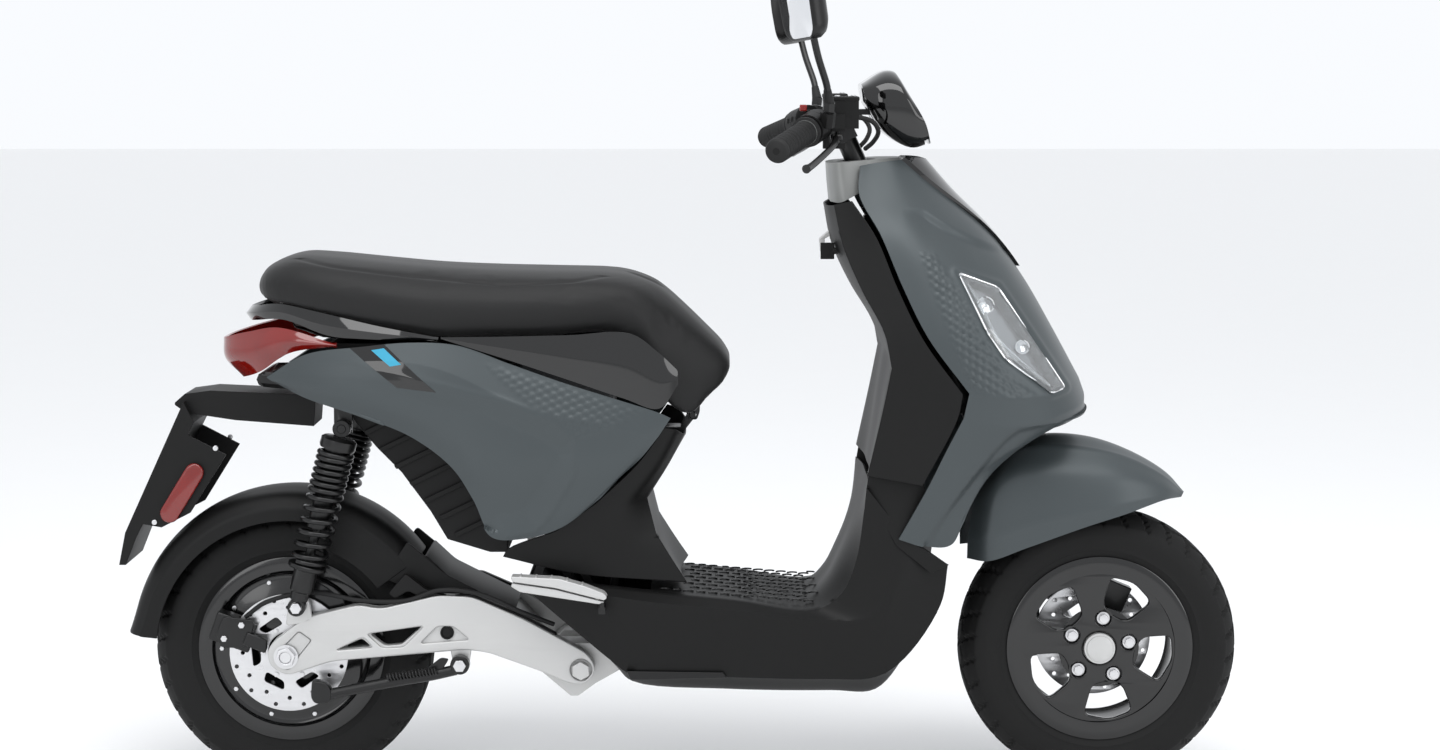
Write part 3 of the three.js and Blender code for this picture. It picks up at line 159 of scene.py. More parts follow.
NODE_MATERIALS = {
    satin: ["front_shield", "side_panel_right", "side_panel_left", "front_fender"],
    light_grey: ["steering_cover"],
    gloss: ["shield_top_trim", "side_trim_right", "side_trim_left", "grab_handle", "headlamp_housing"],
    wheel_black: ["front_rim", "hub_motor_wheel"],
    matte: ["leg_shield", "floor_fairing", "seat_pedestal", "storage_bucket", "rear_fender", "plate_bracket",
            "controls_right", "controls_left", "ignition_key"],
    black_metal: ["frame", "rear_caliper", "front_caliper", "shock_right_body", "shock_right_spring",
                  "shock_right_rod",
                  "shock_left_body", "shock_left_spring", "shock_left_rod", "centre_stand", "steering_stem",
                  "handlebar",
                  "lever_right", "lever_left", "mirror_right", "mirror_left", "front_shock_body"],
    cast_silver: ["swingarm", "keel_casting", "front_link_arm", "footrest_right", "footrest_left",
                  "bag_hook", "front_hub"],
    steel: ["rear_axle", "front_brake_disc", "rear_brake_disc", "front_shock_rod"],
    rubber: ["rear_tyre", "front_tyre"],
    grip_rubber: ["throttle_grip", "left_grip"],
    vinyl: ["seat"],
    clear: ["signal_lens_right", "signal_lens_left", "headlamp_lens"],
    red_lens: ["tail_light"],
    red_plastic: ["kill_switch"],
    battery_grey: ["battery_pack"],
}
SLOT_OF = {p["node"]: p["material_slot"] for p in frame["record"]["subparts"]}
BODY_OF = {n: b for b, nodes in frame["record"]["behaviour"]["bodies"].items() for n in nodes}
MATERIAL_OF = {}
for mat, names in NODE_MATERIALS.items():
    for node_name in names:
        MATERIAL_OF[node_name] = mat
        cad = frame["nodes"][node_name]
        cad.data.materials.clear()
        cad.data.materials.append(mat)


# ---------- pieces ----------
def piece(name, mesh, mat, body, slot=None, stands_for=(), sharp=38):
    """A new object from a mesh, riding on a CAD body."""
    mesh.materials.clear()
    mesh.materials.append(mat)
    for face in mesh.polygons:
        face.use_smooth = True
    if sharp:
        mesh.set_sharp_from_angle(angle=math.radians(sharp))
    obj = bpy.data.objects.new(name, mesh)
    scene.collection.objects.link(obj)
    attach(obj, body)
    if stands_for:
        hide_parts(*stands_for)
        slot = slot or SLOT_OF[stands_for[0]]
    return obj


def mesh_of(name, points, faces):
    mesh = bpy.data.meshes.new(name)
    mesh.from_pydata([tuple(p) for p in points], [], faces)
    mesh.update()
    return mesh


def bevel(obj, width, segments=2, angle=30):
    mod = obj.modifiers.new("bevel", "BEVEL")
    mod.width = width * MM
    mod.segments = segments
    mod.limit_method = "ANGLE"
    mod.angle_limit = math.radians(angle)
    mod.harden_normals = False
    return obj


def applied(obj):
    """The object's mesh with its modifiers applied, and the modifiers gone."""
    graph = bpy.context.evaluated_depsgraph_get()
    mesh = bpy.data.meshes.new_from_object(obj.evaluated_get(graph))
    obj.modifiers.clear()
    obj.data = mesh
    return obj


def softened(node, width=1.5, segments=2, angle=32, mat=None, name=None, remesh=0, smooth=0):
    """A finer copy of a CAD node: rounded edges, or a remeshed and smoothed skin for a casting."""
    source = frame["nodes"][node]
    mesh = source.data.copy()
    edit = bmesh.new()
    edit.from_mesh(mesh)
    bmesh.ops.remove_doubles(edit, verts=edit.verts, dist=1e-5)
    bmesh.ops.dissolve_limit(edit, angle_limit=math.radians(1.0), verts=edit.verts, edges=edit.edges)
    edit.to_mesh(mesh)
    edit.free()
    obj = piece(name or node + "_fine", mesh, mat or MATERIAL_OF[node], BODY_OF[node], stands_for=[node])
    if remesh:
        mod = obj.modifiers.new("remesh", "REMESH")
        mod.mode = "VOXEL"
        mod.voxel_size = remesh * MM
        mod.use_smooth_shade = True
        if smooth:
            relax = obj.modifiers.new("smooth", "SMOOTH")
            relax.factor = 0.5
            relax.iterations = smooth
    else:
        bevel(obj, width, segments, angle)
    return obj


def spline(points, per_span):
    """Centripetal curve through a row of points, as in the frame's own panels."""
    pts = np.array(points, float)
    ext = np.vstack([2 * pts[0] - pts[1], pts, 2 * pts[-1] - pts[-2]])
    out = []
    for i in range(1, len(ext) - 2):
        p0, p1, p2, p3 = ext[i - 1:i + 3]
        t = [0.0]
        for a, b in ((p0, p1), (p1, p2), (p2, p3)):
            t.append(t[-1] + max(np.linalg.norm(b - a), 1e-6) ** 0.5)
        for k in range(per_span):
            u = t[1] + (t[2] - t[1]) * k / per_span
            a1 = (t[1] - u) / (t[1] - t[0]) * p0 + (u - t[0]) / (t[1] - t[0]) * p1
            a2 = (t[2] - u) / (t[2] - t[1]) * p1 + (u - t[1]) / (t[2] - t[1]) * p2
            a3 = (t[3] - u) / (t[3] - t[2]) * p2 + (u - t[2]) / (t[3] - t[2]) * p3
            b1 = (t[2] - u) / (t[2] - t[0]) * a1 + (u - t[0]) / (t[2] - t[0]) * a2
            b2 = (t[3] - u) / (t[3] - t[1]) * a2 + (u - t[1]) / (t[3] - t[1]) * a3
            out.append((t[2] - u) / (t[2] - t[1]) * b1 + (u - t[1]) / (t[2] - t[1]) * b2)
    out.append(pts[-1])
    return np.array(out)


def surface(cage, across=6, along=6, sharp_rows=(), sharp_columns=()):
    """A fine grid through a cage. The curve is broken at the sharp rows and columns, which stay as creases."""
    def broken(line, parts, breaks):
        cuts = [0, *[b for b in breaks if 0 < b < len(line) - 1], len(line) - 1]
        runs = [spline(line[a:b + 1], parts) for a, b in zip(cuts, cuts[1:])]
        return np.vstack([r[:-1] for r in runs] + [runs[-1][-1:]])
    rows = np.array([broken(row, across, sharp_columns) for row in cage])
    columns = [broken(rows[:, j], along, sharp_rows) for j in range(rows.shape[1])]
    return np.array(columns).transpose(1, 0, 2)


def full_row(half):
    return list(half) + [(s, -y, z) for s, y, z in reversed(half[:-1])]


def normals_of(grid):
    down = np.gradient(grid, axis=0)
    side = np.gradient(grid, axis=1)
    n = np.cross(down, side)
    return n / np.maximum(np.linalg.norm(n, axis=2, keepdims=True), 1e-9)


def line_distance(line, s, z):
    """Distance from each (s, z) to a broken line."""
    best = np.full(s.shape, 1e9)
    for (s0, z0), (s1, z1) in zip(line, line[1:]):
        ds, dz = s1 - s0, z1 - z0
        t = np.clip(((s - s0) * ds + (z - z0) * dz) / (ds * ds + dz * dz), 0, 1)
        best = np.minimum(best, np.hypot(s - s0 - t * ds, z - z0 - t * dz))
    return best


def inside(outline, s, z):
    """How deep each (s, z) lies inside an outline; outside it the depth is negative."""
    within = np.zeros(s.shape, bool)
    for (s0, z0), (s1, z1) in zip(outline, outline[1:] + outline[:1]):
        crosses = (z0 > z) != (z1 > z)
        within ^= crosses & (s < (s1 - s0) * (z - z0) / ((z1 - z0) or 1e-9) + s0)
    return line_distance(outline + outline[:1], s, z) * np.where(within, 1, -1)


def ease(value):
    value = np.clip(value, 0, 1)
    return value * value * (3 - 2 * value)


def dimples(outline, s, z, pitch, height, fade=16, lean=0.0):
    """Raised cells on a honeycomb, growing from nothing at the edge of an outline."""
    a = s * math.cos(lean) + z * math.sin(lean)
    b = z * math.cos(lean) - s * math.sin(lean)
    row = pitch * math.sqrt(3)
    nearest = np.full(s.shape, 1e9)
    for shift in (0, 0.5):
        da = (a / pitch + shift) % 1 - 0.5
        db = (b / row + shift) % 1 - 0.5
        nearest = np.minimum(nearest, np.hypot(da * pitch, db * row))
    cell = np.clip(1 - (nearest / (0.54 * pitch)) ** 2, 0, 1)
    return height * cell * ease(inside(outline, s, z) / fade)


def panel(name, grid, wall, mat, body, stands_for=(), slot=None, flip=False, mirror=False, edge=0.8, sharp=38,
          relief=None):
    """A shell from a grid of outer points: the wall goes inwards and its rim is rounded."""
    grid = np.array(grid)
    normal = normals_of(grid) * (-1 if flip else 1)
    if relief:
        grid = grid + normal * relief(grid[..., 0], grid[..., 2])[..., None]
    if mirror:
        grid = grid * np.array([1, -1, 1])
        normal = normal * np.array([1, -1, 1])
    rows, columns = grid.shape[:2]
    layers = [grid, grid - normal * wall]
    points = [P(*p) for layer in layers for p in layer.reshape(-1, 3)]
    inner = rows * columns
    faces = []
    turn = flip != mirror
    def add(*f):
        faces.append(f[::-1] if turn else f)
    for i in range(rows - 1):
        for j in range(columns - 1):
            a, b, c, d = i * columns + j, i * columns + j + 1, (i + 1) * columns + j + 1, (i + 1) * columns + j
            add(a, d, c, b)
            add(a + inner, b + inner, c + inner, d + inner)
            if i == 0:
                add(a, b, b + inner, a + inner)
            if i == rows - 2:
                add(c, d, d + inner, c + inner)
            if j == 0:
                add(d, a, a + inner, d + inner)
            if j == columns - 2:
                add(b, c, c + inner, b + inner)
    mesh = mesh_of(name, points, faces)
    edit = bmesh.new()
    edit.from_mesh(mesh)
    loose = [v for v in edit.verts if not v.link_faces]
    bmesh.ops.delete(edit, geom=loose, context="VERTS")
    bmesh.ops.recalc_face_normals(edit, faces=edit.faces)
    if edit.calc_volume(signed=True) < 0:
        bmesh.ops.reverse_faces(edit, faces=edit.faces)
    edit.to_mesh(mesh)
    edit.free()
    obj = piece(name, mesh, mat, body, slot=slot, stands_for=stands_for, sharp=sharp)
    if edge:
        bevel(obj, edge, 2, 60)
    return obj


def turned(name, profile, at, mat, body, steps=96, stands_for=(), slot=None, sharp=38, shift=None, edge=0):
    """A closed profile of (radius, y) turned about the cross-wise axis at station and height `at`."""
    n = len(profile)
    points, faces = [], []
    for i in range(steps):
        angle = 2 * math.pi * i / steps
        for k, (r, y) in enumerate(profile):
            rr = r + (shift(angle, k, r, y) if shift else 0)
            points.append(P(at[0] + rr * math.cos(angle), y, at[1] + rr * math.sin(angle)))
    for i in range(steps):
        j = (i + 1) % steps
        for k in range(n):
            m = (k + 1) % n
            faces.append((i * n + k, j * n + k, j * n + m, i * n + m))
    mesh = mesh_of(name, points, faces)
    edit = bmesh.new()
    edit.from_mesh(mesh)
    bmesh.ops.recalc_face_normals(edit, faces=edit.faces)
    edit.to_mesh(mesh)
    edit.free()
    obj = piece(name, mesh, mat, body, slot=slot, stands_for=stands_for, sharp=sharp)
    return bevel(obj, edge) if edge else obj


def plate(name, outlines, y_low, y_high, mat, body, edge=1.5, stands_for=(), slot=None, mirror=False,
          round_by=0):
    """Outlines of (s, z) points, the first outside and the rest holes, as a plate with rounded edges."""
    curve = bpy.data.curves.new(name, "CURVE")
    curve.dimensions = "2D"
    curve.fill_mode = "BOTH"
    curve.extrude = ((y_high - y_low) / 2 - edge) * MM
    curve.bevel_depth = edge * MM
    curve.bevel_resolution = 3
    curve.offset = -edge * MM
    for outline in outlines:
        pts = rounded(outline, round_by) if round_by else outline
        line = curve.splines.new("POLY")
        line.points.add(len(pts) - 1)
        line.use_cyclic_u = True
        for point, (s, z) in zip(line.points, pts):
            point.co = (s * MM + REAR_AXLE_X, z * MM, 0, 1)
    temp = bpy.data.objects.new(name + "_line", curve)
    scene.collection.objects.link(temp)
    bpy.context.view_layer.update()
    mesh = bpy.data.meshes.new_from_object(temp.evaluated_get(bpy.context.evaluated_depsgraph_get()))
    bpy.data.objects.remove(temp)
    middle = (y_low + y_high) / 2 * (-1 if mirror else 1)
    mesh.transform(Matrix(((1, 0, 0, 0), (0, 0, -1, middle * MM), (0, 1, 0, 0), (0, 0, 0, 1))))
    edit = bmesh.new()
    edit.from_mesh(mesh)
    bmesh.ops.remove_doubles(edit, verts=edit.verts, dist=1e-5)
    bmesh.ops.recalc_face_normals(edit, faces=edit.faces)
    edit.to_mesh(mesh)
    edit.free()
    return piece(name, mesh, mat, body, slot=slot, stands_for=stands_for, sharp=50)


def rounded(outline, radius, steps=4):
    """An outline with each corner turned into a short curve."""
    out = []
    n = len(outline)
    for i in range(n):
        before, here, after = (Vector(outline[i - 1]), Vector(outline[i]), Vector(outline[(i + 1) % n]))
        a, b = before - here, after - here
        reach = min(radius, a.length * 0.45, b.length * 0.45)
        start, end = here + a.normalized() * reach, here + b.normalized() * reach
        for k in range(steps + 1):
            t = k / steps
            out.append(tuple(start * (1 - t) ** 2 + here * 2 * t * (1 - t) + end * t ** 2))
    return out


def tube(name, points, radius, mat, body, slot=None, stands_for=(), sides=12, smooth=8):
    """A round tube along a smooth line of (s, y, z) points. The radius may be one number or one per point."""
    line = spline(points, smooth) if smooth > 1 else np.array(points, float)
    n = len(line)
    radii = np.interp(np.linspace(0, 1, n), np.linspace(0, 1, len(np.atleast_1d(radius))),
                      np.atleast_1d(radius))
    tangent = np.gradient(line, axis=0)
    tangent /= np.linalg.norm(tangent, axis=1, keepdims=True)
    up = np.array([0, 0, 1.0]) if abs(tangent[0][2]) < 0.9 else np.array([0, 1.0, 0])
    verts, faces = [], []
    for i in range(n):
        side = up - tangent[i] * np.dot(up, tangent[i])
        side /= np.linalg.norm(side)
        up = side
        other = np.cross(tangent[i], side)
        for k in range(sides):
            angle = 2 * math.pi * k / sides
            verts.append(P(*(line[i] + radii[i] * (math.cos(angle) * side + math.sin(angle) * other))))
    for i in range(n - 1):
        for k in range(sides):
            m = (k + 1) % sides
            faces.append((i * sides + k, i * sides + m, (i + 1) * sides + m, (i + 1) * sides + k))
    faces.append(tuple(reversed(range(sides))))
    faces.append(tuple((n - 1) * sides + k for k in range(sides)))
    return piece(name, mesh_of(name, verts, faces), mat, body, slot=slot, stands_for=stands_for, sharp=50)


def temp_prism(outline, y_low, y_high):
    """An unregistered plate used only as a cutter."""
    points = [P(s, y, z) for y in (y_low, y_high) for s, z in outline]
    n = len(outline)
    faces = [tuple(range(n)), tuple(range(2 * n - 1, n - 1, -1))]
    faces += [(i + n, (i + 1) % n + n, (i + 1) % n, i) for i in range(n)]
    mesh = mesh_of("cutter", points, faces)
    edit = bmesh.new()
    edit.from_mesh(mesh)
    bmesh.ops.recalc_face_normals(edit, faces=edit.faces)
    edit.to_mesh(mesh)
    edit.free()
    obj = bpy.data.objects.new("cutter", mesh)
    scene.collection.objects.link(obj)
    return obj


def cut_with(obj, cutters, operation="DIFFERENCE"):
    """Cuts a piece with temporary solids, before its rim is rounded."""
    rim = [m for m in obj.modifiers if m.type == "BEVEL"]
    width = rim[0].width / MM if rim else 0
    obj.modifiers.clear()
    for cutter in cutters:
        mod = obj.modifiers.new("cut", "BOOLEAN")
        mod.operation = operation
        mod.object = cutter
        mod.solver = "EXACT"
        applied(obj)
        bpy.data.objects.remove(cutter)
    for face in obj.data.polygons:
        face.use_smooth = True
    obj.data.set_sharp_from_angle(angle=math.radians(38))
    if width:
        bevel(obj, width, 2, 60)
    return obj


def grown(outline, by):
    middle = Vector((sum(p[0] for p in outline) / len(outline), sum(p[1] for p in outline) / len(outline)))
    out = []
    for point in outline:
        away = Vector(point) - middle
        out.append(tuple(middle + away * (1 + by / away.length)))
    return out


# ---------- front shield, its trim and the signal lenses ----------
SHIELD = [
    [(838, -80, 924), (862, -72, 928), (888, -62, 931), (908, -46, 932), (925, -26, 931), (936, 0, 928)],
    [(836, -104, 884), (868, -100, 884), (903, -88, 886), (935, -66, 888), (960, -36, 888), (973, 0, 886)],
    [(866, -140, 826), (900, -138, 824), (940, -128, 822), (985, -100, 824), (1018, -58, 826), (1033, 0, 826)],
    [(896, -166, 754), (932, -165, 752), (978, -155, 748), (1030, -124, 752), (1068, -72, 756), (1084, 0, 757)],
    [(931, -184, 684), (965, -184, 680), (1012, -174, 676), (1072, -140, 678), (1112, -84, 682),
     (1128, 0, 681)],
    [(989, -190, 606), (1020, -189, 602), (1060, -178, 598), (1112, -148, 600), (1150, -92, 604),
     (1167, 0, 610)],
    [(982, -184, 570), (1015, -182, 560), (1060, -172, 556), (1122, -142, 556), (1165, -88, 560),
     (1183, 0, 566)],
    [(958, -174, 520), (995, -170, 512), (1040, -158, 515), (1092, -136, 532), (1134, -88, 545),
     (1168, 0, 546)],
    [(934, -165, 468), (965, -160, 452), (1005, -147, 470), (1055, -129, 503), (1110, -92, 535),
     (1143, 0, 532)],
    [(893, -152, 390), (935, -146, 377), (974, -136, 379), (1012, -124, 458), (1078, -100, 520),
     (1126, 0, 529)],
]
SIGNAL = [(976, 774), (1034, 752), (1133, 607), (1110, 602), (1041, 654), (1016, 690)]


SHIELD_DIMPLES = [(915, 806), (944, 806), (984, 748), (1014, 692), (1050, 640), (1098, 600), (1060, 592),
                  (985, 607), (962, 668)]
SHIELD_FOLD = [(1180, 596), (1164, 581), (1128, 572), (1090, 562), (1060, 556), (1041, 542), (1019, 518),
               (988, 474), (959, 436), (930, 392)]
SHIELD_FACET = [(896, 868), (930, 862), (964, 841), (1003, 822), (1044, 805)]


def shield_relief(s, z):
    fold = line_distance(SHIELD_FOLD, s, z)
    below = inside(SHIELD_FOLD + [(930, 300), (1300, 300), (1300, 596)], s, z) > 0
    height = np.where(below, -4.5 * ease(fold / 16), 0.0)
    facet = line_distance(SHIELD_FACET, s, z)
    under = z < np.interp(s, [p[0] for p in SHIELD_FACET], [p[1] for p in SHIELD_FACET])
    ends = ease((s - 895) / 45) * ease((1065 - s) / 60)
    height = height + np.where(under, -5.0 * (1 - ease(facet / 70)) * ease(facet / 9), 0.0) * ends
    rim = inside(SIGNAL, s, z)
    height = height + 1.6 * np.exp(-((rim + 6) / 4.0) ** 2)
    height = height + dimples(SHIELD_DIMPLES, s, z, 11.5, 2.2, 12, 0.5) * (rim < 0)
    return height - (17 + height) * ease((rim - 5) / 4)


def shield_pieces():
    cage = [full_row(r) for r in SHIELD]
    grid = surface(cage, 8, 8, sharp_rows=(5, 6))
    fine = surface(cage, 18, 30, sharp_rows=(5, 6))
    panel("front_shield_skin", fine, 3, satin, "chassis", ["front_shield"], relief=shield_relief)
    top = [(56, 960), (52, 905), (34, 840), (0, 770), (-34, 840), (-52, 905), (-56, 960)]
    trim = panel("shield_top_gloss", grid + normals_of(grid) * 5, 7, gloss, "chassis", ["shield_top_trim"],
                 edge=0.6)
    slab = temp_prism(rounded(top, 8), 860, 1130)
    slab.data.transform(turn_to_front())
    cut_with(trim, [slab], "INTERSECT")
    for word, low, high in (("right", -300, -40), ("left", 40, 300)):
        lens = panel(f"signal_cover_{word}", grid + normals_of(grid) * 2.5, 2.5, clear, "chassis",
                     [f"signal_lens_{word}"], edge=0.6)
        cut_with(lens, [temp_prism(rounded(SIGNAL, 6), low, high)], "INTERSECT")
        pocket = grid - normals_of(grid) * 12
        back = panel(f"signal_pocket_{word}", pocket, 2, lamp_inner, "chassis", slot="gloss_black", edge=0)
        cut_with(back, [temp_prism(rounded(grown(SIGNAL, -4), 6), low, high)], "INTERSECT")
    signal_inside(grid)


def turn_to_front():
    """Takes a plate drawn as (s, z) between two y values to one drawn as (y, z) between two stations."""
    shift = Matrix.Translation(Vector((-REAR_AXLE_X, 0, 0)))
    swap = Matrix(((0, 1, 0, 0), (1, 0, 0, 0), (0, 0, 1, 0), (0, 0, 0, 1)))
    return Matrix.Translation(Vector((REAR_AXLE_X, 0, 0))) @ swap @ shift


def on_panel(grid, s, z, side, lift=0.0):
    """The point of a panel's outer surface seen from the side at station s and height z."""
    half = grid[:, : grid.shape[1] // 2 + 1]
    flat = half.reshape(-1, 3)
    near = flat[np.argmin((flat[:, 0] - s) ** 2 + (flat[:, 2] - z) ** 2)]
    return (s, side * (abs(near[1]) + lift), z)


def signal_inside(grid):
    """A bright strip, two chrome bowls and a chrome edge inside each signal lens."""
    for word, side in (("right", -1), ("left", 1)):
        ring = [on_panel(grid, s, z, side, 1.0) for s, z in rounded(SIGNAL, 6, 3)]
        tube(f"signal_edge_{word}", ring + ring[:1], 1.8, chrome, "chassis", slot="steel", sides=8, smooth=1)
        for k, (s, z, r) in enumerate(((1015, 728, 11), (1068, 668, 9))):
            at = on_panel(grid, s, z, side, -9)
            bowl = [(0, 0), (r * 0.5, 1.5), (r, 7), (r + 1.5, 7), (r * 0.6, -1), (0, -1.5)]
            turned(f"signal_bowl_{word}_{k}", [(max(a, 0.01), at[1] + side * b) for a, b in bowl], (s, z),
                   chrome,
                          "chassis", 32, slot="steel")
        strip = [on_panel(grid, s, z, side, -5) for s,
                 z in ((984, 764), (1010, 722), (1030, 682), (1062, 650), (1106, 612))]
        tube(f"signal_strip_{word}", strip, 3.0, clear, "chassis", slot="clear_lens", sides=8)


# ---------- leg shield, floor, pedestal --------------------------
LEG = [
    [(826, -106, 874), (802, -98, 868), (794, -60, 866), (792, 0, 866)],
    [(860, -136, 822), (814, -126, 812), (806, -70, 810), (803, 0, 810)],
    [(889, -159, 752), (840, -149, 751), (832, -75, 751), (830, 0, 751)],
    [(924, -178, 682), (872, -167, 690), (864, -80, 700), (861, 0, 700)],
    [(981, -182, 604), (882, -171, 640), (884, -80, 650), (882, 0, 650)],
    [(974, -176, 568), (870, -169, 580), (873, -80, 580), (871, 0, 580)],
    [(926, -160, 470), (849, -160, 484), (857, -80, 482), (857, 0, 482)],
]
PEDESTAL = [
    [(556, -138, 550), (572, -128, 546), (584, -100, 536), (586, 0, 526)],
    [(518, -140, 499), (545, -130, 497), (563, -100, 495), (566, 0, 492)],
    [(456, -140, 440), (500, -131, 440), (530, -98, 442), (530, 0, 434)],
    [(398, -140, 400), (480, -131, 392), (543, -100, 390), (545, 0, 386)],
    [(330, -138, 374), (450, -131, 352), (568, -104, 350), (562, 0, 350)],
    [(322, -136, 362), (430, -131, 336), (588, -108, 320), (578, 0, 319)],
]


def floor_ring(bottom, corner, side, top, middle):
    half = [(bottom[0], 0, bottom[1]), (bottom[0], -70, bottom[1]), (corner[0], -corner[1], corner[2]),
            (side[0], -side[1], side[2]), (top[0], -top[1], top[2]), (middle[0], -72, middle[1]),
            (middle[0], 0, middle[1])]
    return half + [(s, -y, z) for s, y, z in reversed(half[1:-1])]


FLOOR = [
    floor_ring((352, 314), (352, 136, 317), (354, 142, 321), (360, 128, 327), (362, 326)),
    floor_ring((440, 238), (430, 138, 250), (426, 147, 310), (437, 129, 320), (440, 321)),
    floor_ring((484, 186), (484, 136, 204), (480, 148, 306), (482, 130, 315), (484, 317)),
    floor_ring((506, 164), (500, 134, 192), (520, 148, 300), (524, 130, 310), (524, 312)),
    floor_ring((650, 152), (645, 132, 184), (655, 148, 285), (655, 130, 297), (655, 300)),
    floor_ring((800, 150), (790, 132, 181), (790, 148, 272), (776, 131, 284), (765, 290)),
    floor_ring((866, 152), (862, 132, 184), (868, 148, 276), (812, 136, 308), (792, 312)),
    floor_ring((908, 206), (904, 134, 212), (892, 150, 334), (832, 142, 356), (812, 350)),
    floor_ring((930, 290), (956, 134, 292), (918, 141, 378), (842, 151, 424), (836, 410)),
    floor_ring((934, 352), (966, 132, 350), (897, 142, 400), (846, 157, 466), (852, 468)),
]


def leg_pieces():
    grid = surface([full_row(r) for r in LEG], 8, 8, sharp_columns=(1, 5), sharp_rows=(4,))
    panel("leg_shield_skin", grid, 3, matte, "chassis", ["leg_shield"])
    pedestal = surface([full_row(r) for r in PEDESTAL], 6, 6, sharp_columns=(2, 4), sharp_rows=(2, 3))
    panel("pedestal_skin", pedestal, 3, matte, "chassis", ["seat_pedestal"])
    rings = np.array([ring + ring[:1] for ring in FLOOR], float)
    floor = surface(rings, 6, 6, sharp_columns=(2, 3, 4, 8, 9, 10))
    skin = panel("floor_skin", floor, 3, matte, "chassis", ["floor_fairing"], flip=False)
    opening = temp_prism([(375, 300), (535, 300), (535, 350), (375, 350)], -113, 113)
    keel = temp_prism(grown([(366, 197), (372, 178), (415, 141), (426, 141), (452, 160), (489, 181), (505, 200),
                             (505, 221), (400, 221)], 3), -71, 71)
    cut_with(skin, [opening, keel])
    floor_marks()
    for side in (-1, 1):
        plate(f"floor_grille_{'right' if side < 0 else 'left'}",
              [[(500, 194), (640, 192), (646, 184), (506, 181)]],
                           -138.5, -134, satin_black, "chassis", slot="matte_black", mirror=side > 0)


def floor_marks():
    """Raised arcs scattered over the foot board."""
    verts, faces = [], []
    rows = 9
    for i in range(22):
        for j in range(rows):
            s = 450 + 17.5 * i + (8.5 if j % 2 else 0)
            y = (j - (rows - 1) / 2) * 27
            if s > 775 or abs(y) > 118 or s < 540 or (s < 590 and abs(y) < 108):
                continue
            top = np.interp(s, [437, 524, 655, 765, 792], [321, 312, 300, 291, 312]) - max(0,
                    abs(y) - 72) * 0.03
            wobble = noise.noise(Vector((s * 0.05, y * 0.05, 3.0)))
            arc, width, rise = 0.9 + 0.5 * wobble, 2.6, 1.4
            start = math.pi / 2 + wobble * 0.5
            ring = []
            steps = 7
            for side_shift, height in ((-width / 2, -0.8), (-width / 4, rise), (width / 4, rise),
                                       (width / 2, -0.8)):
                for k in range(steps):
                    angle = start - arc + 2 * arc * k / (steps - 1)
                    radius = 9.5 + side_shift
                    ring.append(P(s + radius * math.cos(angle) * 0.9, y + radius * math.sin(angle),
                                  top + height + 0.4))
            base = len(verts)
            verts += ring
            for band in range(3):
                for k in range(steps - 1):
                    a = base + band * steps + k
                    faces.append((a, a + 1, a + steps + 1, a + steps))
            faces.append(tuple(base + band * steps for band in range(4)))
            faces.append(tuple(base + band * steps + steps - 1 for band in reversed(range(4))))
            for k in range(steps - 1):
                faces.append((base + k + 1, base + k, base + 3 * steps + k, base + 3 * steps + k + 1))
    mesh = mesh_of("floor_marks", verts, faces)
    edit = bmesh.new()
    edit.from_mesh(mesh)
    bmesh.ops.recalc_face_normals(edit, faces=edit.faces)
    edit.to_mesh(mesh)
    edit.free()
    piece("floor_marks", mesh, satin_black, "chassis", slot="matte_black")


# ---------- side panels, gloss trims, tail ----------
SIDE = [
    [(-20, -100, 620), (-18, -101, 618), (-15, -102, 616), (-12, -102, 614), (-8, -101, 612)],
    [(40, -122, 655), (40, -128, 640), (40, -130, 622), (39, -128, 606), (38, -120, 592)],
    [(123, -142, 668), (125, -152, 648), (125, -156, 620), (124, -154, 592), (123, -142, 566)],
    [(196, -150, 675), (200, -164, 646), (200, -170, 610), (197, -166, 570), (194, -152, 537)],
    [(262, -152, 671), (258, -170, 630), (256, -174, 590), (254, -170, 540), (251, -156, 494)],
    [(335, -152, 645), (325, -172, 598), (310, -176, 545), (292, -170, 495), (279, -158, 450)],
    [(408, -152, 619), (400, -170, 572), (372, -174, 510), (335, -166, 450), (307, -154, 395)],
    [(480, -151, 596), (460, -164, 560), (430, -168, 505), (385, -158, 440), (350, -150, 391)],
    [(548, -149, 574), (530, -154, 545), (500, -156, 500), (455, -152, 450), (407, -147, 407)],
    [(565, -148, 566), (548, -148, 540), (522, -148, 508), (490, -148, 478), (464, -147, 450)],
]
TRIM = [
    [(238, -153, 683), (238, -154, 681.5), (240, -153, 680)],
    [(330, -153, 684), (330, -158, 668), (332, -154, 651)],
    [(420, -153, 686), (418, -160, 655), (416, -154, 623)],
    [(508, -150, 688), (504, -157, 640), (498, -152, 595)],
    [(548, -144, 660), (549, -152, 620), (549, -149, 580)],
    [(575, -138, 634), (576, -143, 622), (576, -144, 614)],
]
HANDLE = [
    [(234, -150, 682), (150, -141, 697), (60, -122, 716), (0, -98, 726), (-40, -58, 720), (-56, 0, 716)],
    [(234, -154, 679.5), (150, -148, 688), (64, -130, 699), (4, -106, 714), (-46, -64, 710), (-64, 0, 705)],
    [(232, -151, 677), (120, -140, 679), (74, -126, 682), (8, -104, 703), (-40, -62, 699), (-56, 0, 694)],
]
TAIL = [
    [(84, -129, 670.5), (0, -106, 692), (-48, -80, 684), (-88, -42, 673), (-98, 0, 669)],
    [(85, -132, 669), (6, -116, 672), (-42, -90, 655), (-86, -46, 642), (-96, 0, 640)],
    [(84, -130, 667.5), (14, -107, 655), (-30, -86, 627), (-62, -44, 614), (-70, 0, 612)],
]


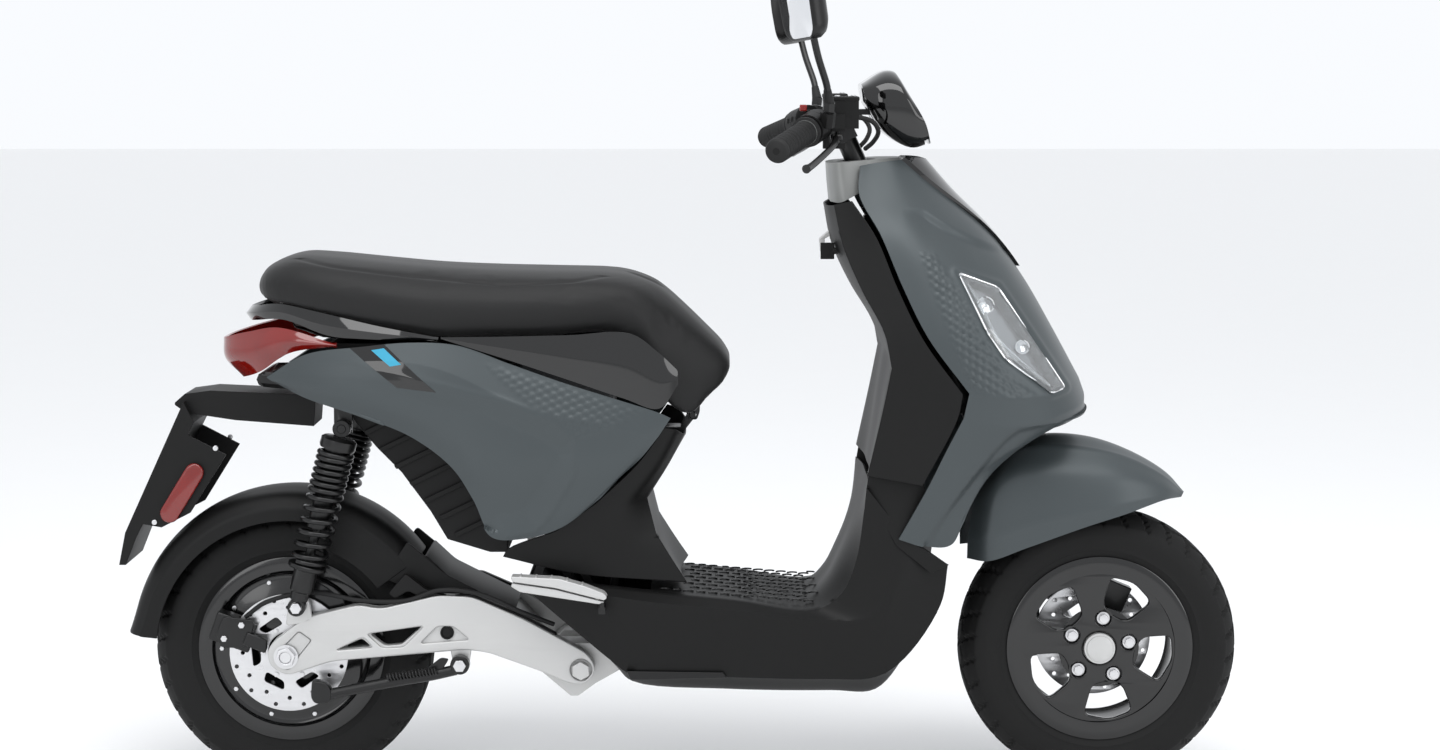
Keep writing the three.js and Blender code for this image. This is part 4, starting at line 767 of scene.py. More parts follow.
SIDE_DIMPLES = [(292, 652), (322, 645), (420, 616), (535, 578), (500, 556), (465, 539), (430, 534),
                (400, 556), (352, 590), (318, 620)]
SIDE_CREASE = [(60, 655), (110, 648), (182, 632), (238, 617), (323, 595), (394, 566), (429, 540),
               (437, 516), (422, 480), (393, 430),
               (371, 404), (330, 396)]
DECAL = [(104, 668), (150, 678), (232, 606), (176, 612)]
DECAL_MARK = [(138, 664), (156, 667), (182, 645), (166, 642)]


def side_relief(s, z):
    crease = line_distance(SIDE_CREASE, s, z)
    hollow = inside(SIDE_CREASE + [(240, 430), (150, 560), (60, 590)], s, z) > 0
    deep = ease((s - 60) / 200) * ease((440 - s) / 20)
    height = np.where(hollow, -7.0 * deep * ease(crease / 34) * (1 - 0.6 * ease((crease - 34) / 90)), 0.0)
    height = height + 1.4 * np.exp(-(crease / 5.0) ** 2) * deep
    return height + dimples(SIDE_DIMPLES, s, z, 11.5, 1.6, 14, 0.35)


def side_pieces():
    outward = np.array([0, -3, 0])
    side_grid = surface(SIDE, 20, 30, sharp_columns=(1,)) + outward
    trim_grid = surface(TRIM, 8, 8, sharp_columns=(1,)) + outward
    out = -normals_of(side_grid)
    for word, mirror in (("right", False), ("left", True)):
        panel(f"side_panel_skin_{word}", side_grid, 3, satin, "chassis", [f"side_panel_{word}"],
              mirror=mirror, flip=True,
              relief=side_relief)
        low, high = (-300, -40) if word == "right" else (40, 300)
        for title, outline, mat, lift in (("band", DECAL, gloss, 0.5), ("mark_a", DECAL_MARK, cyan, 0.8)):
            film = panel(f"decal_{title}_{word}", side_grid + out * lift, 0.4, mat, "chassis",
                         slot="gloss_black", mirror=mirror,
                         flip=True, relief=side_relief, edge=0)
            cut_with(film, [temp_prism(outline, low, high)], "INTERSECT")
        panel(f"side_trim_skin_{word}", trim_grid, 3, gloss, "chassis", [f"side_trim_{word}"],
              mirror=mirror, flip=True)
    handle = surface([full_row(r) for r in HANDLE], 8, 8, sharp_rows=(1,))
    panel("grab_handle_skin", handle, 5, gloss, "chassis", ["grab_handle"], flip=True)
    tail = surface([full_row(r) for r in TAIL], 8, 8)
    panel("tail_light_skin", tail, 5, red_lens, "chassis", ["tail_light"], flip=True)
    core = [(-6, 735), (20, 690), (60, 676), (240, 664), (240, 716), (120, 724), (40, 733)]
    plate("seat_tail_core", [core], -88, 88, gloss, "chassis", 3, slot="gloss_black")
    corner = [(846, 462), (850, 486), (928, 474), (936, 440), (900, 392), (966, 352), (940, 340), (890, 380)]
    for word, low in (("right", -147), ("left", 144)):
        plate(f"shield_corner_{word}", [corner], low, low + 3, matte, "chassis", 0.6, slot="matte_black")


# ---------- wheels ----------
def tread(angle, k, r, y):
    """How far the tread's grooves lower a point: slanted cuts, a centre zigzag and two side zigzags."""
    if r < 184:
        return 0
    turn = angle / (2 * math.pi) * 34
    wave = abs((turn % 1) * 2 - 1)
    wave_late = abs(((turn + 0.5) % 1) * 2 - 1)
    slant = (turn + 0.7 * abs(y) / 50) % 1
    deep = -4.5 if r > 190 else -2.5
    if abs(y - 5 * (wave - 0.5)) < 1.8:
        return deep
    if abs(abs(y) - 21 - 6 * (wave_late - 0.5)) < 2.0:
        return deep
    if slant < 0.17 and abs(y) > 6:
        return deep
    return 0


def tyre(name, at, body, node):
    outer = [(126, -39), (136, -41.3), (141, -44.5), (147, -47), (148.2, -47.9), (149.5, -47.6), (156, -49),
             (164, -49.8), (170, -50),
             (171, -50), (178, -49), (184, -47.2), (187, -45.8)]
    crown = []
    for i in range(41):
        y = -44.5 + 89 * i / 40
        crown.append((207 - 19.0 * abs(y / 44.5) ** 2.6 if abs(y) > 9 else 207, y))
    crown = [(min(r, 207), y) for r, y in crown]
    inner = [(131, 36), (170, 43), (185, 37), (195, 0), (185, -37), (170, -43), (131, -36)]
    profile = outer + crown + [(r, -y) for r, y in reversed(outer)] + inner
    return turned(name, profile, at, rubber, body, 306, [node], shift=tread, sharp=30)


def circle(at, radius, steps=48, start=0.0):
    return [(at[0] + radius * math.cos(start + 2 * math.pi * i / steps),
             at[1] + radius * math.sin(start + 2 * math.pi * i / steps)) for i in range(steps)]


def polar(at, radius, degrees):
    return (at[0] + radius * math.cos(math.radians(degrees)), at[1] + radius * math.sin(math.radians(degrees)))


REAR, FRONT = (0, TYRE_RADIUS), (WHEELBASE, TYRE_RADIUS)
RIM = [(112, -44.5), (126, -46), (136, -46), (138, -45), (138, -43.5), (134, -43), (127, -42), (125, -40),
       (124, -36),
       (124, 36), (125, 40), (127, 42), (134, 43), (138, 43.5), (138, 45), (136, 46), (126, 46),
       (112, 44.5), (117, 38), (118.5, 30),
       (118.5, -30), (117, -38)]


def wheel_pieces():
    tyre("rear_tyre_tread", REAR, "rear_wheel", "rear_tyre")
    tyre("front_tyre_tread", FRONT, "front_wheel", "front_tyre")
    turned("front_rim_ring", RIM, FRONT, wheel_black, "front_wheel", 120, slot="wheel_black")
    windows = []
    for k in range(5):
        base = -11 + 72 * k
        window = [polar(FRONT, 57, base - 17), polar(FRONT, 52, base + 6), polar(FRONT, 66, base + 25),
                  polar(FRONT, 108, base + 21),
                  polar(FRONT, 110, base + 2), polar(FRONT, 103, base - 19)]
        windows.append(rounded(window, 11, 4))
    bolts = [circle(polar(FRONT, 45, 11 + 72 * k), 11.5, 20) for k in range(5)]
    plate("front_rim_face", [circle(FRONT, 120, 96), *windows, *bolts, circle(FRONT, 24.5, 40)], -42, -30,
          wheel_black,
          "front_wheel", 3, ["front_rim"])
    plate("front_rim_back", [circle(FRONT, 60, 60), circle(FRONT, 24.5, 40)], -34, -29.5, wheel_black,
          "front_wheel", 0.8,
          slot="wheel_black")
    cap = [(0.01, -50), (14, -50), (19, -48.5), (19.5, -46.5), (22.8, -46.5), (23, -44), (23, -28), (0.01, -28)]
    turned("front_hub_cap", cap, FRONT, cast_silver, "front_wheel", 48, ["front_hub"])
    for k in range(5):
        at = polar(FRONT, 45, 11 + 72 * k)
        plate(f"lug_bolt_{k}", [circle(at, 7.5, 6, 0.3)], -47, -36, steel, "front_wheel", 0.8, slot="steel")
        turned(f"lug_washer_{k}", [(0.01, -39), (9.5, -39), (10.5, -37), (10.5, -34), (0.01, -34)], at,
               steel, "front_wheel", 24,
               slot="steel")
    turned("front_hub_body", [(10, -28), (50, -28), (52, -24), (30, -19), (26, -10), (26, 28), (42, 31),
                              (42, 37), (10, 37)],
           FRONT, cast_silver, "front_wheel", 48, slot="cast_silver")
    for name, at, y, body, node in (("front", FRONT, 38, "front_wheel", "front_brake_disc"),
                                    ("rear", REAR, -72, "rear_wheel", "rear_brake_disc")):
        holes = [circle(polar(at, 80 if k % 2 else 68, 15 * k), 3.1, 12) for k in range(24)]
        slots = [rounded([polar(at, 44, 60 * k - 20), polar(at, 44, 60 * k + 20),
                          polar(at, 57, 60 * k + 22), polar(at, 57, 60 * k - 12)], 5)
                 for k in range(6)]
        plate(f"{name}_disc_drilled", [circle(at, 87.5, 120), *holes, *slots, circle(at, 31, 40)], y, y + 4,
              steel, body, 0.4, [node])
        for k in range(6):
            spot = polar(at, 37.5, 60 * k)
            plate(f"{name}_disc_bolt_{k}", [circle(spot, 4.2, 6)], y - 2.5 if y < 0 else y + 1,
                  y + 3 if y < 0 else y + 6.5, steel, body, 0.5,
                  slot="steel")
    hub = [(11, -67.5), (36, -67.5), (38, -66), (40, -50), (60, -48.5), (84, -45), (96, -43), (104, -41),
           (110, -40), (116, -43), (118, -45.5),
           *[(r, y) for r, y in RIM[1:-4]], (118, 45.5), (112, 40), (96, 43), (60, 48.5), (40, 50),
           (36, 62), (11, 62)]
    turned("hub_motor", hub, REAR, wheel_black, "rear_wheel", 120, ["hub_motor_wheel"])
    for k in range(10):
        spot = polar(REAR, 104, 36 * k)
        plate(f"hub_screw_{k}", [circle(spot, 3.6, 6)], -44, -40, steel, "rear_wheel", 0.5, slot="steel")


# ---------- swingarm, rear fender, axle, caliper ----------
ARM = [(-28, 214), (-24, 193), (0, 178), (67, 200), (264, 217), (296, 213), (373, 185), (412, 168),
       (436, 164), (452, 182),
       (452, 197), (440, 213), (353, 261), (273, 296), (223, 298), (139, 278), (106, 284), (38, 268),
       (17, 257), (-20, 228)]
ARM_WINDOWS = [[(76, 217), (111, 233), (124, 221)], [(122, 240), (199, 251), (169, 224), (144, 222)]]


def swingarm_pieces():
    pivot = (432, 187)
    axle_slot = [(-17, 207), (19, 244), (37, 231), (2, 188)]
    recess = [(196, 226), (222, 252), (245, 252), (269, 232)]
    for word, low in (("right", -100), ("left", 78)):
        windows = [rounded(w, 5) for w in ARM_WINDOWS]
        outline = rounded(ARM, 12)
        bores = [circle(pivot, 15.5, 32), circle((256, 198), 9, 24)]
        out = -100 if word == "right" else 100
        toward = 1 if word == "right" else -1
        inner = (out + 6 * toward, out + 22 * toward)
        plate(f"arm_core_{word}", [outline, *windows, circle(pivot, 9.6, 32), circle(REAR, 9.6, 32),
                                   bores[1]], min(inner), max(inner),
              cast_silver, "swingarm", 2, ["swingarm"] if word == "right" else (), slot="cast_silver")
        face = (out, out + 9 * toward)
        plate(f"arm_face_{word}", [outline, *[rounded(grown(w, 4), 6) for w in ARM_WINDOWS],
                                   rounded(grown(axle_slot, 1), 4),
                                   rounded(recess, 6), *bores], min(face), max(face), cast_silver,
                                   "swingarm", 2.5, slot="cast_silver")
        slot_part = (out + 3 * toward, out + 8 * toward)
        plate(f"arm_slot_{word}", [rounded(axle_slot, 4), circle(REAR, 9.6, 32)], min(slot_part),
              max(slot_part), cast_silver, "swingarm", 1,
              slot="cast_silver")
        turned(f"arm_plug_{word}", [(0.01, out + 5 * toward), (7, out + 5 * toward), (8, out + 3 * toward),
                                    (10, out + 3 * toward),
                                    (10, out + 8 * toward), (0.01, out + 8 * toward)], (236, 242), matte,
                                    "swingarm", 32, slot="matte_black")
        tab = (out, out + 11 * toward)
        plate(f"shock_lug_{word}", [rounded([(0, 252), (40, 260), (34, 294), (6, 294)], 8)], min(tab),
              max(tab), cast_silver, "swingarm", 2,
              slot="cast_silver")
        pin = (out + 20 * toward, out - 29 * toward)
        turned(f"shock_pin_{word}", [(0.01, min(pin)), (5.4, min(pin)), (6, min(pin) + 1),
                                     (6, max(pin) - 1), (5.4, max(pin)), (0.01, max(pin))],
               (20, 285), steel, "swingarm", 24, slot="steel")
        end = out - 28.6 * toward
        plate(f"shock_nut_{word}", [circle((20, 285), 8.5, 6)],
              min(end, end - 6 * toward) + (2 if toward > 0 else -2),
              max(end, end - 6 * toward) + (2 if toward > 0 else -2), steel, "swingarm", 0.8, slot="steel")
        lug = (out + 1 * toward, out + 21 * toward)
        plate(f"stand_lug_{word}", [rounded([(240, 222), (272, 222), (266, 186), (246, 186)], 5), bores[1]],
              min(lug), max(lug),
              cast_silver, "swingarm", 2, slot="cast_silver")
    bridge = [(280, 222), (350, 205), (368, 225), (330, 262), (282, 268)]
    plate("arm_bridge", [rounded(bridge, 10)], -79, 79, cast_silver, "swingarm", 3, slot="cast_silver")
    axle = [(0.01, -106.5), (8, -106.5), (9, -105.5), (9, 105.5), (8, 106.5), (0.01, 106.5)]
    turned("axle_rod", axle, REAR, steel, "swingarm", 32, ["rear_axle"])
    for word, low in (("right", -109.5), ("left", 101.2)):
        plate(f"axle_nut_{word}", [circle(REAR, 15, 6, 0.2), circle(REAR, 8.9, 24)], low, low + 8.3, steel,
              "swingarm", 1.2, slot="steel")
        turned(f"axle_washer_{word}", [(9.1, low + (8 if low < 0 else -0.7)),
                                       (18, low + (8 if low < 0 else -0.7)),
                                       (18, low + (9 if low < 0 else 0.6)),
                                       (9.1, low + (9 if low < 0 else 0.6))], REAR, steel, "swingarm", 32,
               slot="steel")


def fender_grid():
    rows = []
    for i in range(61):
        share = i / 60
        angle = math.radians(36 + 138 * share)
        skirt = 60 if angle < 1.2 else 26
        if 1.2 <= angle < 1.32:
            skirt = 60 - 34 * (angle - 1.2) / 0.12
        outer = 222
        flare = max(0.0, (share - 0.93) / 0.07) ** 2 * 5
        section = [(-67, outer - skirt), (-67, outer - 8 + flare), (-52, outer + 8 + flare),
                   (-26, outer + 14 + flare),
                   (0, outer + 16 + flare)]
        rows.append([(r * math.cos(angle), y, 207 + r * math.sin(angle)) for y, r in section])
    return rows


def rear_guard_pieces():
    grid = surface([full_row(r) for r in fender_grid()], 7, 1, sharp_columns=(1, 7))
    panel("hugger_skin", grid, 3, matte, "swingarm", ["rear_fender"], flip=False)
    cheek = [(140, 318), (176, 372), (200, 352), (235, 322), (335, 271), (331, 263), (284, 269.5),
             (236, 262), (205, 290)]
    cover = [(203, 352), (235, 322), (335, 271), (331, 263), (284, 269.5), (230, 316), (198, 346)]
    for word, low in (("right", -68.5), ("left", 63.5)):
        plate(f"hugger_cheek_{word}", [rounded(cheek, 6)], low, low + 5, matte, "swingarm", 1.2,
              slot="matte_black")
        side = -1 if low < 0 else 1
        strip = [(150, 300), (176, 330), (206, 306), (240, 296), (272, 300), (352, 265), (398, 240),
                 (392, 232), (345, 252), (270, 286),
                 (236, 284), (204, 290), (180, 304), (160, 292)]
        top = -96 if side < 0 else 84
        plate(f"arm_strip_{word}", [rounded(strip, 5)], top, top + 12, matte, "swingarm", 2, slot="matte_black")
    plate("hugger_cover", [rounded(cover, 4)], -67, 67, matte, "swingarm", 1.5, slot="matte_black")
    for k, degrees in enumerate((58, 74, 90, 106, 122, 138, 154)):
        angle = math.radians(degrees)
        line = [(r * math.cos(angle), y, 207 + r * math.sin(angle)) for y, r in
                ((-54, 229.5), (-40, 235), (-20, 237.8), (0, 238.6), (20, 237.8), (40, 235), (54, 229.5))]
        tube(f"hugger_rib_{k}", line, 1.6, matte, "swingarm", slot="matte_black", sides=8, smooth=4)
    lugs = [(-42, 262), (-96, 270), (-110, 240), (-102, 214), (-60, 212), (-46, 236)]
    softened("rear_caliper", 2.5, 3)
    plate("caliper_bridge", [rounded(grown(lugs, -6), 8)], -89, -84.5, black_metal, "swingarm", 1.5,
          slot="black_metal")
    for k, at in enumerate(((-66, 252), (-92, 232))):
        plate(f"caliper_bolt_{k}", [circle(at, 5, 6)], -92.5, -88.5, steel, "swingarm", 0.8, slot="steel")


# ---------- shocks ----------
SHOCK_TOP, SHOCK_EYE = Vector((90, 547)), Vector((20, 285))
DOWN = (SHOCK_EYE - SHOCK_TOP).normalized()


def lathe_along(name, start, direction, y, profile, mat, body, steps=40, stands_for=(), slot=None, edge=0):
    """A closed profile of (distance, radius) turned about a line in the (s, z) plane at one y."""
    axis = Vector((direction[0], 0, direction[1])).normalized()
    across = Vector((0, 1, 0))
    other = axis.cross(across)
    origin = Vector((start[0], y, start[1]))
    verts, faces, n = [], [], len(profile)
    for i in range(steps):
        angle = 2 * math.pi * i / steps
        away = across * math.cos(angle) + other * math.sin(angle)
        verts += [P(*(origin + axis * d + away * r)) for d, r in profile]
    for i in range(steps):
        j = (i + 1) % steps
        faces += [(i * n + k, j * n + k, j * n + (k + 1) % n, i * n + (k + 1) % n) for k in range(n)]
    mesh = mesh_of(name, verts, faces)
    edit = bmesh.new()
    edit.from_mesh(mesh)
    bmesh.ops.recalc_face_normals(edit, faces=edit.faces)
    edit.to_mesh(mesh)
    edit.free()
    obj = piece(name, mesh, mat, body, slot=slot, stands_for=stands_for)
    return bevel(obj, edge) if edge else obj


def coil(name, start, direction, y, pitches, coil_radius, wire, mat, body, stands_for):
    """A coil spring along a line: pitches is a list of (distance, turns so far)."""
    axis = Vector((direction[0], 0, direction[1])).normalized()
    across = Vector((0, 1, 0))
    other = axis.cross(across)
    origin = Vector((start[0], y, start[1]))
    turns = pitches[-1][1]
    count = int(turns * 26)
    points = []
    for i in range(count + 1):
        turn = turns * i / count
        d = float(np.interp(turn, [p[1] for p in pitches], [p[0] for p in pitches]))
        angle = 2 * math.pi * turn
        points.append(tuple(origin + axis * d + across * coil_radius * math.cos(angle) + other * coil_radius * math.sin(angle)))
    return tube(name, points, wire, mat, body, stands_for=stands_for, sides=12, smooth=1)


def shock_pieces():
    for word, y in (("right", -117), ("left", 117)):
        body_profile = [(13, 10), (14, 22), (17, 26), (27, 26.5), (31, 25), (32, 16), (96, 16), (98, 15),
                        (150, 15), (150, 9.5), (62, 9.5),
                        (60, 8.5), (33, 8.5), (20, 8)]
        lathe_along(f"shock_cup_{word}", SHOCK_TOP, DOWN, y, body_profile, black_metal, "chassis",
                    stands_for=[f"shock_{word}_body"])
        eye = [(6.6, y - 9), (12, y - 9), (13, y - 8), (13, y + 8), (12, y + 9), (6.6, y + 9)]
        turned(f"shock_top_eye_{word}", eye, tuple(SHOCK_TOP), black_metal, "chassis", 32, slot="black_metal")
        coil(f"shock_coil_{word}", SHOCK_TOP, DOWN, y,
             [(36.5, 0), (41, 1), (97, 7), (111, 8), (194, 12.6), (201.5, 13.6)], 23.6, 3.7,
             black_metal, BODY_OF[f"shock_{word}_spring"], [f"shock_{word}_spring"])
        length = (SHOCK_EYE - SHOCK_TOP).length
        rod = [(125, 0.01), (125, 6), (126, 7), (206, 7), (206, 27), (207, 28), (211, 28), (213, 26),
               (214, 19), (216, 17.5), (246, 17), (248, 14),
               (length - 11, 13), (length - 11, 0.01)]
        lathe_along(f"shock_leg_{word}", SHOCK_TOP, DOWN, y, rod, black_metal, f"shock_{word}_rod",
                    stands_for=[f"shock_{word}_rod"])
        low_eye = [(8.7, y - 9), (12, y - 9), (13, y - 8), (13, y + 8), (12, y + 9), (8.7, y + 9)]
        turned(f"shock_low_eye_{word}", low_eye, tuple(SHOCK_EYE), black_metal, f"shock_{word}_rod", 32,
               slot="black_metal")


# ---------- centre stand, keel, footrests, bracket, storage, frame ----------
def stand_pieces():
    cross_tube = [(0.01, -113), (6.5, -113), (7.5, -112), (7.5, 112), (6.5, 113), (0.01, 113)]
    turned("stand_cross_tube", cross_tube, (256, 198), black_metal, "centre_stand", 32, ["centre_stand"])
    for word, y in (("right", -110), ("left", 110)):
        side = -1 if y < 0 else 1
        boss = sorted((y - 8, y + 8))
        turned(f"stand_boss_{word}", [(7.6, boss[0]), (13, boss[0]), (14, boss[0] + 1), (14, boss[1] - 1),
                                      (13, boss[1]), (7.6, boss[1])], (256, 198),
               black_metal, "centre_stand", 32, slot="black_metal")
        tube(f"stand_leg_{word}", [(250, y, 190), (215, y, 182), (180, y, 176), (100, y, 161),
                                   (60, y, 153)], 8, black_metal, "centre_stand",
             slot="black_metal", sides=20)
        foot = rounded([(40, 176), (62, 172), (68, 160), (66, 142), (44, 141), (38, 150)], 5)
        plate(f"stand_foot_{word}", [foot], y - 10, y + 10, black_metal, "centre_stand", 2.5,
              slot="black_metal")
        brace = rounded([(146, 172), (228, 187), (240, 206), (228, 208), (205, 190), (150, 178)], 4)
        plate(f"stand_brace_{word}", [brace], y - 3, y + 3, black_metal, "centre_stand", 1, slot="black_metal")
        bolt = y + 9 * side
        plate(f"stand_bolt_{word}", [circle((256, 198), 9.5, 6)], min(bolt, bolt + 5 * side),
              max(bolt, bolt + 5 * side), steel, "centre_stand",
              1, slot="steel")
    coil("stand_spring", (150, 181), (88, 12), -121, [(0, 0), (3, 1), (70, 15), (73, 16)], 4.2, 1.3,
         black_metal, "centre_stand", ())


def low_pieces():
    softened("keel_casting", 3, 3)
    for word, side in (("right", -1), ("left", 1)):
        body = f"footrest_{word}"
        top = [(336, 341), (406, 337.5), (445, 326), (470, 316), (474, 310), (470, 306), (458, 309),
               (400, 324), (338, 333)]
        low = [(338, 330.5), (400, 321.5), (458, 306.5), (470, 303.5), (462, 300.3), (349, 318), (336, 326)]
        bore = temp_prism([(456, 294), (477, 294), (477, 311), (456, 311)],
                          158.5 * side - 1 if side > 0 else -172, 172 if side > 0 else -158)
        upper = plate(f"footrest_top_{word}", [rounded(top, 3)], min(153 * side, 178 * side),
                      max(153 * side, 178 * side), cast_silver, body, 1.6,
                      [f"footrest_{word}"])
        lower = plate(f"footrest_base_{word}", [rounded(low, 2)], min(154 * side, 176 * side),
                      max(154 * side, 176 * side), cast_silver, body, 1.2,
                      slot="cast_silver")
        twin = bore.copy()
        twin.data = bore.data.copy()
        scene.collection.objects.link(twin)
        cut_with(upper, [bore])
        cut_with(lower, [twin])
        for k in range(5):
            s = 350 + 22 * k
            z = float(np.interp(s, [336, 406, 445], [341, 337.5, 326]))
            tube(f"footrest_rib_{word}_{k}", [(s, side * 156, z), (s, side * 175, z)], 1.5, cast_silver,
                 body, slot="cast_silver", sides=8, smooth=1)
    softened("plate_bracket", 1.6, 3)
    for word, side in (("right", -1), ("left", 1)):
        axis0, axis1 = Vector((-128, 486)), Vector((-180, 402))
        along = (axis1 - axis0).normalized()
        across = Vector((-along.y, along.x))
        ring = []
        for end, start_angle in ((axis0 + along * 14, 0.5), (axis1 - along * 14, -0.5)):
            for k in range(13):
                angle = math.pi * (start_angle - 0.5 + 1 * k / 12) + (0 if start_angle > 0 else 0)
                ring.append(tuple(end + across * 14 * math.cos(angle) * (1 if start_angle > 0 else 1)
                                  - along * 14 * math.sin(angle) * (1 if start_angle > 0 else 1)))
        low, high = sorted((60.4 * side, 68 * side))
        plate(f"side_reflector_{word}", [ring], low, high, red_lens, "chassis", 3.2, slot="red_lens")
        for k, at in enumerate(((-104, 510), (-196, 400))):
            plate(f"reflector_screw_{word}_{k}", [circle(at, 4, 16)], *sorted((60.2 * side, 62.5 * side)),
                  steel, "chassis", 0.8, slot="steel")
    softened("storage_bucket", 1.5, 2)
    for side in (-1, 1):
        for k in range(7):
            share = k / 6
            top = (140 + 150 * share, 560 - 130 * share)
            start = (118 + 130 * share, 540 - 150 * share)
            end = (start[0] + 70, start[1] + 26)
            low, high = sorted((92.4 * side, 97.5 * side))
            plate(f"liner_rib_{'right' if side < 0 else 'left'}_{k}",
                  [rounded([start, (start[0] + 4, start[1] - 6), end,
                  (end[0] - 4, end[1] + 6)], 2)], low, high, matte, "chassis", 1, slot="matte_black")
    softened("battery_pack", 6, 3)
    softened("frame", 1.0, 2, 40)
    softened("steering_stem", 1.2, 2, 40)
    softened("front_link_arm", 2.2, 3)
    softened("front_caliper", 2.2, 3)
    shock_axis = Vector((1176.6 - 1113.2, 209.8 - 345.7)).normalized()
    top = Vector((1176.6, 209.8)) - shock_axis * 150
    lathe_along("front_shock_tube", top, shock_axis, 101,
                [(12, 0.01), (12, 12), (14, 17), (94, 17), (96, 15), (96, 11.2), (41, 11.2), (40, 0.01)],
                black_metal, "steering", stands_for=["front_shock_body"])
    lathe_along("front_shock_shaft", top, shock_axis, 101,
                [(74, 0.01), (74, 7.2), (75, 8), (141, 8), (141, 0.01)], steel, "front_shock_rod",
                stands_for=["front_shock_rod"])
    for name, at, bore, body in (("front_shock_top_eye", top, 6.6, "steering"),
                                 ("front_shock_low_eye", Vector((1176.6, 209.8)), 8.7,
                                                                               "front_shock_rod")):
        turned(name, [(bore, 93), (10, 93), (11, 94), (11, 108), (10, 109), (bore, 109)], tuple(at),
               black_metal, body, 32, slot="black_metal")


FENDER = [
    [(1000, -60, 346), (1000, -66, 380), (1012, -60, 440), (1030, -40, 468), (1040, 0, 474)],
    [(1030, -84, 346), (1030, -90, 380), (1040, -84, 460), (1062, -50, 500), (1075, 0, 506)],
    [(1085, -88, 366), (1088, -93, 400), (1092, -84, 470), (1104, -50, 512), (1112, 0, 522)],
    [(1172, -86, 397), (1172, -89, 420), (1174, -78, 470), (1176, -46, 508), (1180, 0, 520)],
    [(1232, -78, 415), (1232, -79, 432), (1236, -68, 466), (1240, -40, 492), (1244, 0, 499)],
    [(1290, -52, 431), (1290, -52, 438), (1292, -46, 450), (1296, -28, 462), (1300, 0, 466)],
    [(1322, -14, 430), (1323, -14, 431.5), (1324, -12, 433), (1326, -8, 435), (1328, 0, 436)],
]


def on_steer(z, forward=0.0, y=0.0):
    s = 1172.4 - (z - 207) * math.tan(math.radians(25))
    return (s + forward * math.cos(math.radians(25)), y, z + forward * math.sin(math.radians(25)))


def front_fender_piece():
    grid = surface([full_row(r) for r in FENDER], 8, 8, sharp_columns=(1, 3, 5, 7))
    obj = panel("front_fender_skin", grid, 3, satin, "steering", ["front_fender"], flip=False)
    stem = cylinder_cutter([on_steer(400), on_steer(580)], 23)
    leg = cylinder_cutter([(1100, 34, 455), (1072, 46, 440), (1086, 64, 405), (1092, 64, 340)], 18)
    cut_with(obj, [stem, leg])


def cylinder_cutter(points, radius, sides=32):
    """A plain round rod used only for cutting."""
    line = np.array(points, float)
    tangent = np.gradient(line, axis=0) if len(line) > 2 else np.array([line[1] - line[0]] * 2)
    tangent /= np.linalg.norm(tangent, axis=1, keepdims=True)
    verts, faces = [], []
    for p, t in zip(line, tangent):
        side = np.cross(t, [0, 1.0, 0.2])
        side /= np.linalg.norm(side)
        other = np.cross(t, side)
        verts += [P(*(p + radius * (math.cos(2 * math.pi * k / sides) * side + math.sin(2 * math.pi * k / sides) * other)))
                  for k in range(sides)]
    for i in range(len(line) - 1):
        faces += [(i * sides + k, i * sides + (k + 1) % sides, (i + 1) * sides + (k + 1) % sides,
                   (i + 1) * sides + k) for k in range(sides)]
    faces += [tuple(reversed(range(sides))), tuple((len(line) - 1) * sides + k for k in range(sides))]
    mesh = mesh_of("cutter", verts, faces)
    edit = bmesh.new()
    edit.from_mesh(mesh)
    bmesh.ops.recalc_face_normals(edit, faces=edit.faces)
    edit.to_mesh(mesh)
    edit.free()
    obj = bpy.data.objects.new("cutter", mesh)
    scene.collection.objects.link(obj)
    return obj


# ---------- handlebar, controls, mirrors, headlamp, cover ----------
GRIP = (Vector((757, -226, 977)), Vector((711, -345, 953)))


def on_grip(share):
    return tuple(GRIP[0].lerp(GRIP[1], share))


def mirrored(points, side):
    return [(s, y * -side, z) for s, y, z in points]


def box_piece(name, size, centre, mat, body, turn=(0, 0, 0), edge=2.0, segments=3, **extra):
    edit = bmesh.new()
    bmesh.ops.create_cube(edit, size=1)
    mesh = bpy.data.meshes.new(name)
    edit.to_mesh(mesh)
    edit.free()
    spin = Matrix.Rotation(turn[2], 4, "Z") @ Matrix.Rotation(turn[1], 4, "Y") @ Matrix.Rotation(turn[0], 4,
            "X")
    mesh.transform(Matrix.Translation(P(*centre)) @ spin @ Matrix.Diagonal((size[0] * MM, size[1] * MM,
            size[2] * MM, 1)))
    return bevel(piece(name, mesh, mat, body, **extra), edge, segments)


def grip_pieces():
    for word, side, node, body in (("right", -1, "throttle_grip", "throttle_grip"),
                                   ("left", 1, "left_grip", "steering")):
        count = 200
        line = [on_grip(0.022 + 0.976 * i / count) for i in range(count + 1)]
        radii = []
        for i in range(count + 1):
            share = 0.022 + 0.976 * i / count
            wave = (share * 36) % 1
            r = 17.3 if wave < 0.62 else 15.9
            if share < 0.07:
                r = 21.3 if 0.028 < share < 0.062 else 19.5
            if share > 0.955:
                r = 17.3 - 3.0 * ((share - 0.955) / 0.043) ** 2
            radii.append(r)
        tube(f"grip_sleeve_{word}", mirrored(line, side), radii, grip_rubber, body, stands_for=[node],
             sides=40, smooth=1)
        tube(f"grip_ring_{word}", mirrored([on_grip(0.072), on_grip(0.082)], side), 17.6, light_grey, body,
             slot="light_grey", sides=40, smooth=1)
        tube(f"grip_end_{word}", mirrored([on_grip(0.995), on_grip(1.001)], side), 5, matte, body,
             slot="grip_rubber", sides=24, smooth=1)


